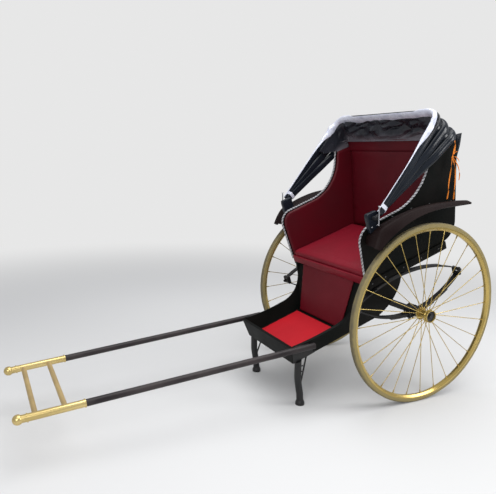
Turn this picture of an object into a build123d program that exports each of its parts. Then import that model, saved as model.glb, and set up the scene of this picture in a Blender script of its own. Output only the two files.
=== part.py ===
from build123d import *
import os
from math import atan2, cos, degrees, hypot, radians, sin, tan

os.makedirs("parts", exist_ok=True)

# All sizes are in millimetres and degrees.
# The road frame has X forward along the pulling shafts, Y to the rider's left and Z up.
# Parked, the cab is tipped forward onto its two front legs. It is drawn level in its own
# frame, u forward, y left and w up, and is turned nose down about the road under the axle.
nose_down = 19.8

# Wheels: solid tyres on steel rims, 28 spokes, turning freely on the ends of a fixed axle.
wheel_radius = 500.0
track = 930.0
tyre_width = 34.0
tyre_depth = 22.0
tyre_bevel = 7.0
rim_depth = 18.0
rim_bead = 8.0
rim_well = 7.0
seat_gap = 0.1
spoke_count = 28
spoke_phase = 10.0
spoke_radius = 1.7
spoke_lean = 62.0
spoke_ring = 37.0
hub_radius = 17.0
hub_flange_radius = 43.0
hub_flange_width = 4.0
hub_flange_spread = 27.0
hub_inner_reach = 46.0
hub_outer_reach = 36.0
hub_cap_radius = 15.0
hub_cap_reach = 46.0
hub_cap_bevel = 5.0
spindle_radius = 10.0
running_gap = 0.05
end_gap = 2.0

# Axle and the two full-elliptic springs that carry the cab on it.
axle_square = 28.0
axle_collar_radius = 15.0
axle_collar_length = 18.0
spring_inset = 8.0
spring_width = 34.0
leaf_thickness = 6.0
eye_radius = 10.0
eye_bolt_radius = 5.0
front_eye = (165.0, 652.0)
rear_eye = (-552.0, 556.0)
lower_eye_drop = 27.0
spring_crown = 699.0
spring_seat_gap = 0.7
shackle_thickness = 4.0
shackle_radius = 12.0
clamp_post_radius = 4.0
clamp_plate_thickness = 6.0
clamp_plate_length = 62.0
clamp_plate_lip = 2.0
clamp_post_gap = 1.0
block_length = 70.0
contact_gap = 0.3

# Seat box: a board on two rails, with upholstered side boards that lean outward.
seat_board_top = 756.0
seat_board_thickness = 18.0
seat_front = 75.0
seat_rear = -492.0
rail_height = 18.0
rail_width = 28.7
seat_half_width = 358.0
seat_lean = 6.0
side_board_thickness = 12.0
side_pad_thickness = 9.0
# The side boards' outline: heights are measured up the board from the seat board.
arm_front = 78.0
arm_height = 288.0
arm_front_round = 75.0
arm_sweep = (-357.0, 306.0)
arm_sweep_round = 285.0
back_top_front = (-450.0, 529.0)
back_foot_u = -572.0
back_recline = 58.0
back_foot_round = 105.0
back_lap = 22.0
back_proud = 1.0
back_board_thickness = 12.0
back_cushion_top_u = -548.0
pad_inset = 6.0
cushion_height = 55.0
cushion_front = 83.0
cushion_rear = -408.0
cushion_round = 14.0
back_cushion_round = 60.0
pad_gap = 0.3
piping_radius = 5.0

# Footwell: two boards that lean outward more, a floor, a front board and a curved back.
foot_bottom = 462.5
foot_half_width = 250.0
foot_board_thickness = 15.0
foot_front = 553.0
# The side boards' upper edge, in height up the board: a dip, a rise, then the seat.
foot_dip_front = 420.0
foot_dip_rear = 285.0
foot_dip_height = 94.0
foot_rise_middle = (160.0, 136.0)
foot_rise_end = (104.0, 212.0)
foot_seat_u = 86.0
# Their curved rear edge, seen from the side: floor, middle of the curve, its end and top.
heel_foot_u = -18.0
heel_middle = (-130.0, 522.0)
heel_end = (-188.0, 624.0)
heel_top_u = -206.0
heel_inset = 2.0
heel_thickness = 12.0
front_board_thickness = 16.0
front_board_height = 103.0
floor_thickness = 14.0
calf_top = (82.0, 737.0)
calf_bottom = (216.0, 478.0)
calf_board_thickness = 10.0
calf_pad_thickness = 9.0
calf_pad_half_top = 248.0
calf_pad_half_bottom = 205.0
mat_thickness = 7.0
mat_half_width = 205.0
mat_gap = 7.0

# Mudguards: thin curved boards from the cab's sides out over the tyres.
fender_thickness = 9.0
fender_reach = 494.0
wheel_gap = 6.0
notch_gap = 1.0
# Each row is one cross-section: its place along the cab, then the inner edge's distance out
# from the side board and its height, then the outer edge's distance in from the full reach
# and its height.
fender_rows = (
    (-578.0, -8.0, 968.0, 0.0, 974.0),
    (-380.0, -8.0, 1014.0, 0.0, 987.0),
    (-150.0, -8.0, 1028.0, 0.0, 990.0),
    (36.0, -8.0, 1006.0, 0.0, 962.0),
    (122.0, 69.0, 992.0, 14.0, 980.0),
)

# Front legs: bent tubes with a round foot, each with a thin brace behind it.
foot_x = 634.0
leg_y = 248.0
leg_radius = 19.0
leg_bend = 160.0
# The leg's bends: each how far forward of the foot, and how high.
leg_bends = ((4.0, 60.0), (22.0, 150.0), (28.0, 330.0))
pad_radius = 25.0
pad_height = 14.0
brace_radius = 4.5
brace_foot = (2.0, 118.0)
brace_top_u = 462.0
brace_splay = 20.0

# Pulling shafts: round bars with gilt ends joined by two crossbars.
shaft_radius = 16.5
shaft_start = (713.0, 338.0)
shaft_slope = 5.0
shaft_y_rear = 297.5
shaft_toe = 0.8
shaft_overlap = 118.0
grip_start = 1070.0
grip_end = 1352.0
grip_radius = 17.5
ball_radius = 23.0
collar_width = 5.0
collar_rise = 3.0
rear_collar_place = 2.0
front_collar_place = -40.0
crossbar_radius = 12.0
crossbar_places = (1157.0, 1281.0)
saddle_height = 25.0
saddle_depth = 28.0
saddle_places = (-92.0, -8.0)
bracket_thickness = 5.0
bracket_rear = 430.0
bracket_inset = 4.0
bracket_reach = 14.0
bracket_slope = 40.0

# Folding hood: three steel bows on one pin at each arm, each with its fold of cloth.
hinge_place = (0.0, 1095.0)
bow_rod_radius = 4.0
bow_corner = 90.0
bow_eye_radius = 11.0
bow_eye_width = 7.0
bow_pin_radius = 5.0
bow_gap = 1.0
bow_spacing = 9.0
bow_stand = 27.0
fold_start = 110.0
fold_half_width = 16.0
fold_taper = 0.04
fold_radius = 22.0
hinge_plate_thickness = 8.0
hinge_stand = 6.4
hinge_foot = 56.0
hinge_drop = 110.0
hinge_head = 16.0
hinge_block = 50.0
hinge_block_height = 30.0
pin_shoulder = 4.0
# Each bow's length from the pin, its angle above the level towards the rear when folded,
# and which of the three eyes on the pin is its own, counted outward.
bow_names = ("front", "middle", "rear")
bow_lengths = (662.0, 673.0, 690.0)
bow_angles = (33.8, 27.3, 20.8)
bow_ranks = (1, 0, -1)

# Places that follow from the sizes above.
slope = radians(shaft_slope)
tip_x = shaft_start[0] + grip_end * cos(slope)
middle_x = (tip_x + ball_radius - wheel_radius) / 2
turn = radians(nose_down)
axle_u = -wheel_radius * sin(turn)
axle_w = wheel_radius * cos(turn)
seat_board_bottom = seat_board_top - seat_board_thickness
rail_bottom = seat_board_bottom - rail_height
floor_top = foot_bottom + floor_thickness
spring_y = seat_half_width - spring_inset
rail_inner = seat_half_width - rail_width
foot_top_half_width = rail_inner - contact_gap
foot_lean = degrees(atan2(foot_top_half_width - foot_half_width, seat_board_bottom - foot_bottom))
# A length that reaches past every piece, for cuts that run right through.
beyond = 1500.0


def save(name, shape):
    """Write one piece, moved so that the frame's origin is under the whole part's middle."""
    export_step(Pos(-middle_x, 0, 0) * shape, f"parts/{name}.step")


def save_pair(name, left):
    """Write a left piece and its mirror image on the right."""
    save(f"{name}_left", left)
    save(f"{name}_right", mirror(left, about=Plane.XZ))


def save_both(name, left):
    """Write a left piece and its mirror image as two solids of one piece of the part."""
    save(name, Compound(children=[left, mirror(left, about=Plane.XZ)]))


def tipped(shape):
    """Turn a piece drawn in the cab's level frame to where it stands on the road."""
    return shape.rotate(Axis.Y, nose_down)


def outline(start, *steps):
    """A face bounded by lines, one point a step, and arcs, two points a step."""
    here, edges = start, []
    for step in steps:
        edges.append(Line(here, *step) if len(step) == 1 else ThreePointArc(here, *step))
        here = step[-1]
    if here != start:
        edges.append(Line(here, start))
    return make_face(edges)


def slab(face, y_from, y_to):
    """A side view in u and w, thickened from one y to another."""
    side = Plane(origin=(0, y_from, 0), x_dir=(1, 0, 0), z_dir=(0, -1, 0))
    return extrude(side * face, amount=y_from - y_to)


def leaning_plane(half_width, base, lean):
    """The outer face of a left board: across is u, up is along the board."""
    a = radians(lean)
    return Plane(origin=(0, half_width, base), x_dir=(1, 0, 0), z_dir=(0, -cos(a), sin(a)))


def half_at(w, half_width, base, lean, inset):
    """Half the cab's width at height w, measured inset from the boards' outer faces."""
    a = radians(lean)
    return half_width + (w - base) * tan(a) - inset / cos(a)


def wedge(half, u_from, u_to, w_low, w_high):
    """A block as wide as half(w) on each side, from one u to another."""
    low, high = half(w_low), half(w_high)
    corners = [(-low, w_low), (low, w_low), (high, w_high), (-high, w_high)]
    across = Plane(origin=(u_from, 0, 0), x_dir=(0, 1, 0), z_dir=(1, 0, 0))
    return extrude(across * make_face(Polyline(*corners, close=True)), amount=u_to - u_from)


def rod(start, end, radius):
    """A round bar between two points."""
    along = Vector(*end) - Vector(*start)
    return extrude(Plane(origin=start, z_dir=along) * Circle(radius), amount=along.length)


def tube_y(radius, u, w, y_from, y_to):
    """A round pin along y."""
    return rod((u, y_from, w), (u, y_to, w), radius)


def seat_half(inset):
    """The seat box's half width as a function of height, inset from its outer faces."""
    return lambda w: half_at(w, seat_half_width, seat_board_top, seat_lean, inset)


def foot_half(inset):
    """The footwell's half width as a function of height, inset from its outer faces."""
    return lambda w: half_at(w, foot_half_width, foot_bottom, foot_lean, inset)


# Wheels, drawn about the Y axis and moved out to the axle's ends.
tyre_inner = wheel_radius - tyre_depth
rim_inner = tyre_inner - rim_depth
half_tyre = tyre_width / 2
tyre_corners = [
    (tyre_inner, -half_tyre),
    (wheel_radius - tyre_bevel, -half_tyre),
    (wheel_radius, tyre_bevel - half_tyre),
    (wheel_radius, half_tyre - tyre_bevel),
    (wheel_radius - tyre_bevel, half_tyre),
    (tyre_inner, half_tyre),
]
tyre = revolve(make_face(Polyline(*tyre_corners, close=True)), Axis.Y)
rim_outer = tyre_inner - seat_gap
rim_corners = [
    (rim_inner, -rim_well),
    (rim_outer - rim_bead, -half_tyre),
    (rim_outer, -half_tyre),
    (rim_outer, half_tyre),
    (rim_outer - rim_bead, half_tyre),
    (rim_inner, rim_well),
]
rim = revolve(make_face(Polyline(*rim_corners, close=True)), Axis.Y)

# Each hub flange holds every second spoke. All spokes of one flange lean the same way
# and those of the other flange the other way, so that they cross in the side view.
spokes = []
spoke_y = hub_flange_spread - hub_flange_width / 2 - spoke_radius - seat_gap
for i in range(spoke_count):
    side = 1 if i % 2 else -1
    at_rim = radians(spoke_phase + i * 360 / spoke_count)
    at_hub = at_rim + side * radians(spoke_lean)
    start = (spoke_ring * cos(at_hub), side * spoke_y, spoke_ring * sin(at_hub))
    reach = rim_inner - 3 * seat_gap
    spokes.append(rod(start, (reach * cos(at_rim), 0, reach * sin(at_rim)), spoke_radius))

# The barrel with its two flanges, bored for the spindle.
bore = spindle_radius + running_gap
flange_in = hub_flange_spread - hub_flange_width / 2
flange_out = hub_flange_spread + hub_flange_width / 2
hub_corners = [
    (bore, -hub_inner_reach),
    (hub_radius, -hub_inner_reach),
    (hub_radius, -flange_out),
    (hub_flange_radius, -flange_out),
    (hub_flange_radius, -flange_in),
    (hub_radius, -flange_in),
    (hub_radius, flange_in),
    (hub_flange_radius, flange_in),
    (hub_flange_radius, flange_out),
    (hub_radius, flange_out),
    (hub_radius, hub_outer_reach),
    (bore, hub_outer_reach),
]
hub = revolve(make_face(Polyline(*hub_corners, close=True)), Axis.Y)
cap_corners = [
    (0, hub_outer_reach),
    (hub_cap_radius, hub_outer_reach),
    (hub_cap_radius, hub_cap_reach - hub_cap_bevel),
    (hub_cap_radius - hub_cap_bevel, hub_cap_reach),
    (0, hub_cap_reach),
]
hub_cap = revolve(make_face(Polyline(*cap_corners, close=True)), Axis.Y)
spindle_end = hub_outer_reach - end_gap

wheel_pieces = (("tyre", tyre), ("rim", rim), ("hub", hub), ("hub_cap", hub_cap))
for name, piece in wheel_pieces + (("spokes", Compound(children=spokes)),):
    save_pair(name, Pos(0, track / 2, wheel_radius) * piece)


def circle_through(a, b, c):
    """Centre and radius of the circle through three points."""
    d = 2 * (a[0] * (b[1] - c[1]) + b[0] * (c[1] - a[1]) + c[0] * (a[1] - b[1]))
    sa, sb, sc = (p[0] ** 2 + p[1] ** 2 for p in (a, b, c))
    x = (sa * (b[1] - c[1]) + sb * (c[1] - a[1]) + sc * (a[1] - b[1])) / d
    y = (sa * (c[0] - b[0]) + sb * (a[0] - c[0]) + sc * (b[0] - a[0])) / d
    return (x, y), hypot(a[0] - x, a[1] - y)


def leaf(centre, radius, a_from, a_to):
    """One curved leaf, its inner face on the given radius, between two angles."""
    def at(r, a):
        return centre[0] + r * cos(a), centre[1] + r * sin(a)

    middle = (a_from + a_to) / 2
    outer = radius + leaf_thickness
    return outline(
        at(radius, a_from),
        (at(radius, middle), at(radius, a_to)),
        (at(outer, a_to),),
        (at(outer, middle), at(outer, a_from)),
    )


def leaf_pack(a, crown, b, leaves):
    """Leaves of falling length, laid outside one another from eye to eye."""
    centre, radius = circle_through(a, crown, b)
    a_from = atan2(a[1] - centre[1], a[0] - centre[0])
    a_to = atan2(b[1] - centre[1], b[0] - centre[0])
    middle, half = (a_from + a_to) / 2, (a_to - a_from) / 2
    faces = []
    for i, share in enumerate(leaves):
        r = radius + i * leaf_thickness
        faces.append(leaf(centre, r, middle - share * half, middle + share * half))
    return faces


# Springs. The upper half is two leaves below the seat rail, the lower half is three
# leaves under the axle, and a pair of shackle plates joins their eyes at each end.
spring_low_y = spring_y - spring_width / 2
spring_high_y = spring_y + spring_width / 2
crown_u = (front_eye[0] + rear_eye[0]) / 2
upper_crown = (crown_u, spring_crown - 2 * leaf_thickness)
upper_faces = leaf_pack(
    (front_eye[0], front_eye[1]),
    upper_crown,
    (rear_eye[0], rear_eye[1]),
    (1.0, 0.62),
)
half_square = axle_square / 2
lower_crown = axle_w - half_square - spring_seat_gap
lower_front = (front_eye[0], front_eye[1] - lower_eye_drop)
lower_rear = (rear_eye[0], rear_eye[1] - lower_eye_drop)
lower_faces = leaf_pack(lower_rear, (axle_u, lower_crown), lower_front, (1.0, 0.7, 0.4))
halves = (
    ("spring_upper", upper_faces, (front_eye, rear_eye)),
    ("spring_lower", lower_faces, (lower_front, lower_rear)),
)
for name, faces, eyes in halves:
    spring = slab(faces[0], spring_low_y, spring_high_y)
    for face in faces[1:]:
        spring += slab(face, spring_low_y, spring_high_y)
    for eye in eyes:
        spring += tube_y(eye_radius, *eye, spring_low_y, spring_high_y)
    for eye in eyes:
        spring -= tube_y(eye_bolt_radius + seat_gap, *eye, spring_low_y - 1, spring_high_y + 1)
    save_pair(name, tipped(spring))

shackles = []
for eye, lower in ((front_eye, lower_front), (rear_eye, lower_rear)):
    plate_low = spring_low_y - contact_gap - shackle_thickness
    plate_high = spring_high_y + contact_gap
    link = None
    for y in (plate_low, plate_high):
        middle_w = (eye[1] + lower[1]) / 2
        piece = slab(
            Pos(eye[0], middle_w) * Rectangle(2 * shackle_radius, lower_eye_drop),
            y,
            y + shackle_thickness,
        )
        for w in (eye[1], lower[1]):
            piece += tube_y(shackle_radius, eye[0], w, y, y + shackle_thickness)
        link = piece if link is None else link + piece
    for w in (eye[1], lower[1]):
        head = shackle_thickness
        link += tube_y(eye_bolt_radius, eye[0], w, plate_low - head, plate_high + 2 * head)
    shackles.append(link)
save_both("spring_shackles", tipped(Compound(children=shackles)))

# Axle: a square bar, its flats square to the springs, with a collar and a round spindle
# at each end.
lower_centre, lower_radius = circle_through(lower_rear, (axle_u, lower_crown), lower_front)
seat_tilt = degrees(atan2(axle_u - lower_centre[0], lower_centre[1] - axle_w))
collar_y = track / 2 - hub_inner_reach - end_gap
square_y = collar_y - axle_collar_length
spindle_y = track / 2 + spindle_end
axle = Box(axle_square, 2 * square_y, axle_square)
for side in (1, -1):
    axle += tube_y(axle_collar_radius, 0, 0, side * square_y, side * collar_y)
    axle += tube_y(spindle_radius, 0, 0, side * collar_y, side * spindle_y)
at_axle = Pos(axle_u, 0, axle_w) * Rot(0, -seat_tilt, 0)
save("axle", tipped(at_axle * axle))

# The clamp ties the lower leaves to the axle with four bolts between two plates.
pack_depth = hypot(axle_u - lower_centre[0], lower_centre[1] - axle_w)
clamp_bottom = pack_depth - lower_radius - 3 * leaf_thickness - contact_gap
clamp_top = half_square
post_u = half_square + clamp_post_radius + clamp_post_gap
post_y = spring_width / 2 + clamp_post_radius + clamp_post_gap
plate_width = 2 * (post_y + clamp_post_radius + clamp_plate_lip)
plate = Box(clamp_plate_length, plate_width, clamp_plate_thickness)
clamp = Pos(0, spring_y, clamp_top + clamp_plate_thickness / 2) * plate
clamp += Pos(0, spring_y, clamp_bottom - clamp_plate_thickness / 2) * plate
for u in (-post_u, post_u):
    for y in (spring_y - post_y, spring_y + post_y):
        low = (u, y, clamp_bottom - 2 * clamp_plate_thickness)
        clamp += rod(low, (u, y, clamp_top + 2 * clamp_plate_thickness), clamp_post_radius)
save_both("spring_clamps", tipped(at_axle * clamp))

# The block that beds the upper leaves against the rail, where they lie level with it.
upper_centre, upper_radius = circle_through(front_eye, upper_crown, rear_eye)
leaves_top = upper_centre[1] + upper_radius + 2 * leaf_thickness
block_height = rail_bottom - leaves_top - contact_gap
block = Pos(upper_centre[0], spring_y, rail_bottom - block_height / 2) * Box(
    block_length, spring_width, block_height
)
save_both("spring_blocks", tipped(block))

# Seat board, with the two rails under its edges, outside the footwell's boards.
seat_length = seat_front - seat_rear
seat_board = Pos((seat_front + seat_rear) / 2, 0, seat_board_top - seat_board_thickness / 2) * Box(
    seat_length, 2 * seat_half_width, seat_board_thickness
)
save("seat_board", tipped(seat_board))
rail = Pos((seat_front + seat_rear) / 2, rail_inner + rail_width / 2, rail_bottom + rail_height / 2)
rail *= Box(seat_length, rail_width, rail_height)
save_both("seat_rails", tipped(rail))

# Side boards: a level arm in front, sweeping up to the top of the back.
seat_side = leaning_plane(seat_half_width, seat_board_top, seat_lean)
arm_corners = ((arm_front, 0.0), (arm_front, arm_height), arm_sweep, back_top_front)
arm_radii = (arm_front_round, arm_sweep_round)
side_rear = back_foot_u + back_proud
side_outline = FilletPolyline(
    *arm_corners,
    (side_rear - back_recline, back_top_front[1]),
    (side_rear, 0.0),
    radius=(0.0, *arm_radii, 0.0, 0.0, back_foot_round),
    close=True,
)
side_face = make_face(side_outline)
side_board = extrude(seat_side * side_face, amount=side_board_thickness)
save_pair("side_board", tipped(side_board))


def back_u(w, inset):
    """Where the back's outer face is at height w, measured inset towards the seat."""
    slant = atan2(back_recline, back_top_front[1] * cos(radians(seat_lean)))
    return back_foot_u - (w - seat_board_top) * tan(slant) + inset / cos(slant)


def back_room(inset, w_high):
    """The side view of all that lies inside the back, with its round lower corner."""
    low = seat_board_top + inset
    rear_low, rear_high = (back_u(low, inset), low), (back_u(w_high, inset), w_high)
    corners = (foot_front, low), rear_low, rear_high, (foot_front, w_high)
    rounds = (0.0, back_foot_round - inset, 0.0, 0.0)
    return make_face(FilletPolyline(*corners, radius=rounds, close=True))


# Back board: upright, curving in at the bottom to lie on the seat board's rear edge.
back_w = seat_board_top + back_top_front[1] * cos(radians(seat_lean))
back_shell = slab(back_room(0, back_w), -beyond, beyond)
back_shell -= slab(back_room(back_board_thickness, beyond), -beyond, beyond)
back_shell &= wedge(
    seat_half(side_board_thickness), -beyond, seat_rear + back_lap, seat_board_top, back_w
)
save("back_board", tipped(back_shell))

# Upholstery: thin pads on the side boards, a back cushion and a seat cushion.
inside_back = slab(back_room(back_board_thickness + pad_gap, beyond), -beyond, beyond)
pad_plane = seat_side.offset(side_board_thickness + pad_gap)
side_pad = extrude(pad_plane * offset(side_face, amount=-pad_inset), amount=side_pad_thickness)
side_pad &= inside_back
save_pair("side_pad", tipped(side_pad))

upholstery_inset = side_board_thickness + side_pad_thickness + 2 * pad_gap
cushion_half = seat_half(upholstery_inset)
cushion_low = seat_board_top + pad_gap
cushion_high = seat_board_top + cushion_height
back_low = seat_board_top + back_board_thickness + pad_gap
back_high = back_w - pad_inset
back_profile = FilletPolyline(
    (cushion_rear - pad_gap, back_low),
    (cushion_rear - pad_gap, cushion_high),
    (back_cushion_top_u, back_high),
    (-beyond, back_high),
    (-beyond, back_low),
    radius=(0.0, back_cushion_round, cushion_round, 0.0, 0.0),
    close=True,
)
back_cushion = slab(make_face(back_profile), -beyond, beyond)
back_cushion &= inside_back
back_cushion &= wedge(cushion_half, -beyond, beyond, seat_board_top, back_w)
save("back_cushion", tipped(back_cushion))

seat_cushion = wedge(cushion_half, cushion_rear, cushion_front, cushion_low, cushion_high)
front_edges = seat_cushion.faces().sort_by(Axis.X)[-1].edges().filter_by(Axis.Y)
seat_cushion = fillet(front_edges, cushion_round)
save("seat_cushion", tipped(seat_cushion))

# Piping: a round cord seated on the edge of each side board, from the seat to the top.
piping_lift = piping_radius + pad_gap
arm_line = FilletPolyline(*arm_corners, radius=arm_radii)
beside = arm_line.offset_2d(piping_lift, side=Side.RIGHT, closed=False)
path = seat_side.offset(side_board_thickness / 2) * beside
piping = sweep(Plane(path @ 0, z_dir=path % 0) * Circle(piping_radius), path)
save_pair("piping", tipped(piping))

# Footwell boards, one profile for both: flat below, curved up from the front to the seat.
foot_side = leaning_plane(foot_half_width, foot_bottom, foot_lean)
foot_rise = (seat_board_bottom - foot_bottom) / cos(radians(foot_lean))
front_rise = front_board_height / cos(radians(foot_lean))


def up_board(point):
    """A point of the side view, with its height turned to a height up the leaning board."""
    return point[0], (point[1] - foot_bottom) / cos(radians(foot_lean))


foot_profile = outline(
    (foot_front, 0.0),
    ((foot_front, front_rise),),
    ((foot_dip_front, foot_dip_height), (foot_dip_rear, foot_dip_height)),
    (foot_rise_middle, foot_rise_end),
    ((foot_seat_u, foot_rise),),
    ((heel_top_u, foot_rise),),
    (up_board(heel_end),),
    (up_board(heel_middle), (heel_foot_u, 0.0)),
)
foot_board = extrude(foot_side * foot_profile, amount=foot_board_thickness)
foot_board &= Pos(0, beyond / 2, (foot_bottom + seat_board_bottom) / 2) * Box(
    2 * beyond, beyond, seat_board_bottom - foot_bottom
)
save_pair("foot_side", tipped(foot_board))

foot_inside = foot_half(foot_board_thickness)
floor_rear = heel_foot_u - heel_inset
floor = wedge(foot_inside, floor_rear, foot_front, foot_bottom, floor_top)
save("foot_floor", tipped(floor))
front_board = wedge(
    foot_half(0),
    foot_front,
    foot_front + front_board_thickness,
    foot_bottom,
    foot_bottom + front_board_height,
)
save("front_board", tipped(front_board))

# The curved heel board closes the footwell behind, from the floor up to the seat board.
heel_face = outline(
    (heel_foot_u, foot_bottom),
    (heel_middle, heel_end),
    ((heel_top_u, seat_board_bottom),),
    ((heel_top_u, seat_board_top),),
    ((foot_front, seat_board_top),),
    ((foot_front, foot_bottom),),
)
heel_board = slab(offset(heel_face, amount=-heel_inset), -beyond, beyond)
heel_board -= slab(offset(heel_face, amount=-heel_inset - heel_thickness), -beyond, beyond)
heel_board &= wedge(foot_inside, -beyond, floor_rear - contact_gap, foot_bottom, seat_board_bottom)
save("heel_board", tipped(heel_board))


def calf_strip(front, back):
    """The sloping strip between the seat board and the floor, from one depth to another."""
    run, rise = calf_bottom[0] - calf_top[0], calf_bottom[1] - calf_top[1]
    length = hypot(run, rise)

    def behind(point, depth):
        return point[0] + rise / length * depth, point[1] - run / length * depth

    return outline(
        behind(calf_top, front),
        (behind(calf_bottom, front),),
        (behind(calf_bottom, back),),
        (behind(calf_top, back),),
    )


calf_room = wedge(foot_inside, -beyond, foot_front, floor_top, seat_board_bottom)
calf_back = calf_pad_thickness + pad_gap
calf_board = slab(calf_strip(calf_back, calf_back + calf_board_thickness), -beyond, beyond)
calf_board &= calf_room
save("calf_board", tipped(calf_board))
taper_run = seat_board_bottom - floor_top
calf_taper = (calf_pad_half_top - calf_pad_half_bottom) / taper_run


def calf_half(w):
    """The calf pad narrows towards the floor."""
    return calf_pad_half_bottom + (w - floor_top) * calf_taper


mat_top = floor_top + pad_gap + mat_thickness
calf_pad = slab(calf_strip(0, calf_pad_thickness), -beyond, beyond)
calf_pad &= wedge(calf_half, -beyond, foot_front, mat_top + pad_gap, seat_board_bottom - pad_gap)
save("calf_pad", tipped(calf_pad))
mat_rear = calf_bottom[0] + mat_gap
mat_front = foot_front - mat_gap
mat = Pos((mat_rear + mat_front) / 2, 0, floor_top + pad_gap + mat_thickness / 2) * Box(
    mat_front - mat_rear, 2 * mat_half_width, mat_thickness
)
save("foot_mat", tipped(mat))

# Mudguards: straight-lined between the cross-sections, with a notch round each hinge plate.
outer_half = seat_half(0)
fender_sections = []
for u, inner_out, inner_w, outer_in, outer_w in fender_rows:
    inner_y = outer_half(inner_w) + inner_out
    outer_y = fender_reach - outer_in
    corners = [
        (inner_y, inner_w),
        (outer_y, outer_w),
        (outer_y, outer_w - fender_thickness),
        (inner_y, inner_w - fender_thickness),
    ]
    across = Plane(origin=(u, 0, 0), x_dir=(0, 1, 0), z_dir=(1, 0, 0))
    fender_sections.append(across * make_face(Polyline(*corners, close=True)))
fender = loft(fender_sections, ruled=True)
fender -= wedge(lambda w: outer_half(w) + contact_gap, -beyond, beyond, foot_bottom, beyond)
hinge_u, hinge_w = hinge_place
hinge_foot_w = hinge_w - hinge_drop
plate_inner_y = outer_half(hinge_w) + hinge_stand
hinge_plate_y = plate_inner_y + hinge_plate_thickness
bow_middle_y = hinge_plate_y + bow_stand
notch_y = hinge_plate_y + contact_gap
fender -= Pos(hinge_u, notch_y / 2, hinge_w) * Box(hinge_foot + 2 * notch_gap, notch_y, hinge_w)
wheel_room = wheel_radius + wheel_gap
fender -= tube_y(wheel_room, axle_u, axle_w, track / 2 - half_tyre - wheel_gap, track)
save_pair("fender", tipped(fender))


def on_road(u, w):
    """The road frame's x and z of a point in the cab's frame."""
    return u * cos(turn) + w * sin(turn), w * cos(turn) - u * sin(turn)


# Front legs, drawn in the road frame and cut to the sloping underside of the footwell.
leg_points = [(foot_x, leg_y, pad_height / 2)]
for forward, height in leg_bends:
    leg_points.append((foot_x + forward, leg_y, height))
leg_path = FilletPolyline(*leg_points, radius=leg_bend)
leg = sweep(Plane(leg_path @ 0, z_dir=leg_path % 0) * Circle(leg_radius), leg_path)
leg += rod((foot_x, leg_y, 0), (foot_x, leg_y, pad_height), pad_radius)
leg += Pos(foot_x, leg_y, pad_height * 1.5) * Cone(pad_radius, leg_radius, pad_height)
underside = tipped(Pos(0, 0, foot_bottom + beyond / 2) * Box(2 * beyond, beyond, beyond))
leg -= underside
save_pair("leg", leg)

brace_low = (foot_x + brace_foot[0], leg_y, brace_foot[1])
brace_x, brace_z = on_road(brace_top_u, foot_bottom)
brace = rod(brace_low, (brace_x, leg_y - brace_splay, brace_z + 2 * brace_radius), brace_radius)
brace -= leg
brace -= underside
save_both("leg_braces", brace)


def on_shaft(s, out=0.0):
    """A point on the left shaft's axis, s forward of its start, and out to the side."""
    y = shaft_y_rear - s * tan(radians(shaft_toe)) + out
    return shaft_start[0] + s * cos(slope), y, shaft_start[1] - s * sin(slope)


# Pulling shafts, with their gilt ends and the crossbars between them.
save_pair("shaft", rod(on_shaft(-shaft_overlap), on_shaft(grip_start), shaft_radius))
grip = rod(on_shaft(grip_start), on_shaft(grip_end), grip_radius)
grip += Pos(*on_shaft(grip_end)) * Sphere(ball_radius)
for s in (grip_start + rear_collar_place, grip_end + front_collar_place):
    grip += rod(on_shaft(s), on_shaft(s + collar_width), grip_radius + collar_rise)
save_pair("grip", grip)
for name, s in zip(("crossbar_rear", "crossbar_front"), crossbar_places):
    x, y, z = on_shaft(s)
    bar = rod((x, -y, z), (x, y, z), crossbar_radius)
    room = rod(on_shaft(s - ball_radius), on_shaft(s + ball_radius), grip_radius + seat_gap)
    bar -= room
    bar -= mirror(room, about=Plane.XZ)
    save(name, bar.solids().sort_by(SortBy.VOLUME)[-1])

# Brackets: a plate on each side of the footwell with a saddle for the shaft.
bracket_front = foot_front + bracket_reach
plate_face = outline(
    (bracket_rear, bracket_inset),
    ((bracket_front, bracket_inset),),
    ((bracket_front, foot_dip_height + bracket_inset),),
    ((bracket_rear + bracket_slope, foot_dip_height - bracket_inset),),
)
bracket_plane = foot_side.offset(-contact_gap)
bracket = tipped(extrude(bracket_plane * plate_face, amount=-bracket_thickness))
saddle_from, saddle_to = (on_shaft(s) for s in saddle_places)
saddle_along = Vector(*saddle_to) - Vector(*saddle_from)
saddle_plane = Plane(origin=saddle_from, x_dir=(0, 1, 0), z_dir=saddle_along)
saddle_face = Pos(-saddle_depth / 2, 0) * Rectangle(saddle_depth, saddle_height)
saddle = extrude(saddle_plane * saddle_face, amount=saddle_along.length)
saddle -= tipped(
    wedge(lambda w: foot_half(0)(w) + contact_gap, -beyond, beyond, 0, seat_board_bottom)
)
bracket += saddle
bracket -= rod(on_shaft(-beyond), on_shaft(grip_start), shaft_radius + seat_gap)
save_pair("shaft_bracket", bracket)

# Hood hinges: a plate on a block outside each arm, with the pin that all three bows turn on.
hinge_face = outline(
    (hinge_u - hinge_foot / 2, hinge_foot_w),
    ((hinge_u + hinge_foot / 2, hinge_foot_w),),
    ((hinge_u + hinge_head, hinge_w),),
    ((hinge_u, hinge_w + hinge_head), (hinge_u - hinge_head, hinge_w)),
)
hinge = slab(hinge_face, plate_inner_y, hinge_plate_y)
block_w = hinge_foot_w + hinge_block_height / 2 + hinge_plate_thickness
block = Pos(hinge_u, plate_inner_y - hinge_block / 2, block_w) * Box(
    hinge_block, hinge_block, hinge_block_height
)
hinge += block - wedge(lambda w: outer_half(w) + contact_gap, -beyond, beyond, foot_bottom, beyond)
eye_low = bow_middle_y - bow_spacing - bow_eye_width / 2
eye_high = bow_middle_y + bow_spacing + bow_eye_width / 2
shoulder_radius = bow_pin_radius + pin_shoulder
shoulder_y = eye_low - bow_gap
head_y = eye_high + bow_gap
hinge += tube_y(shoulder_radius, hinge_u, hinge_w, hinge_plate_y, shoulder_y)
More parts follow.
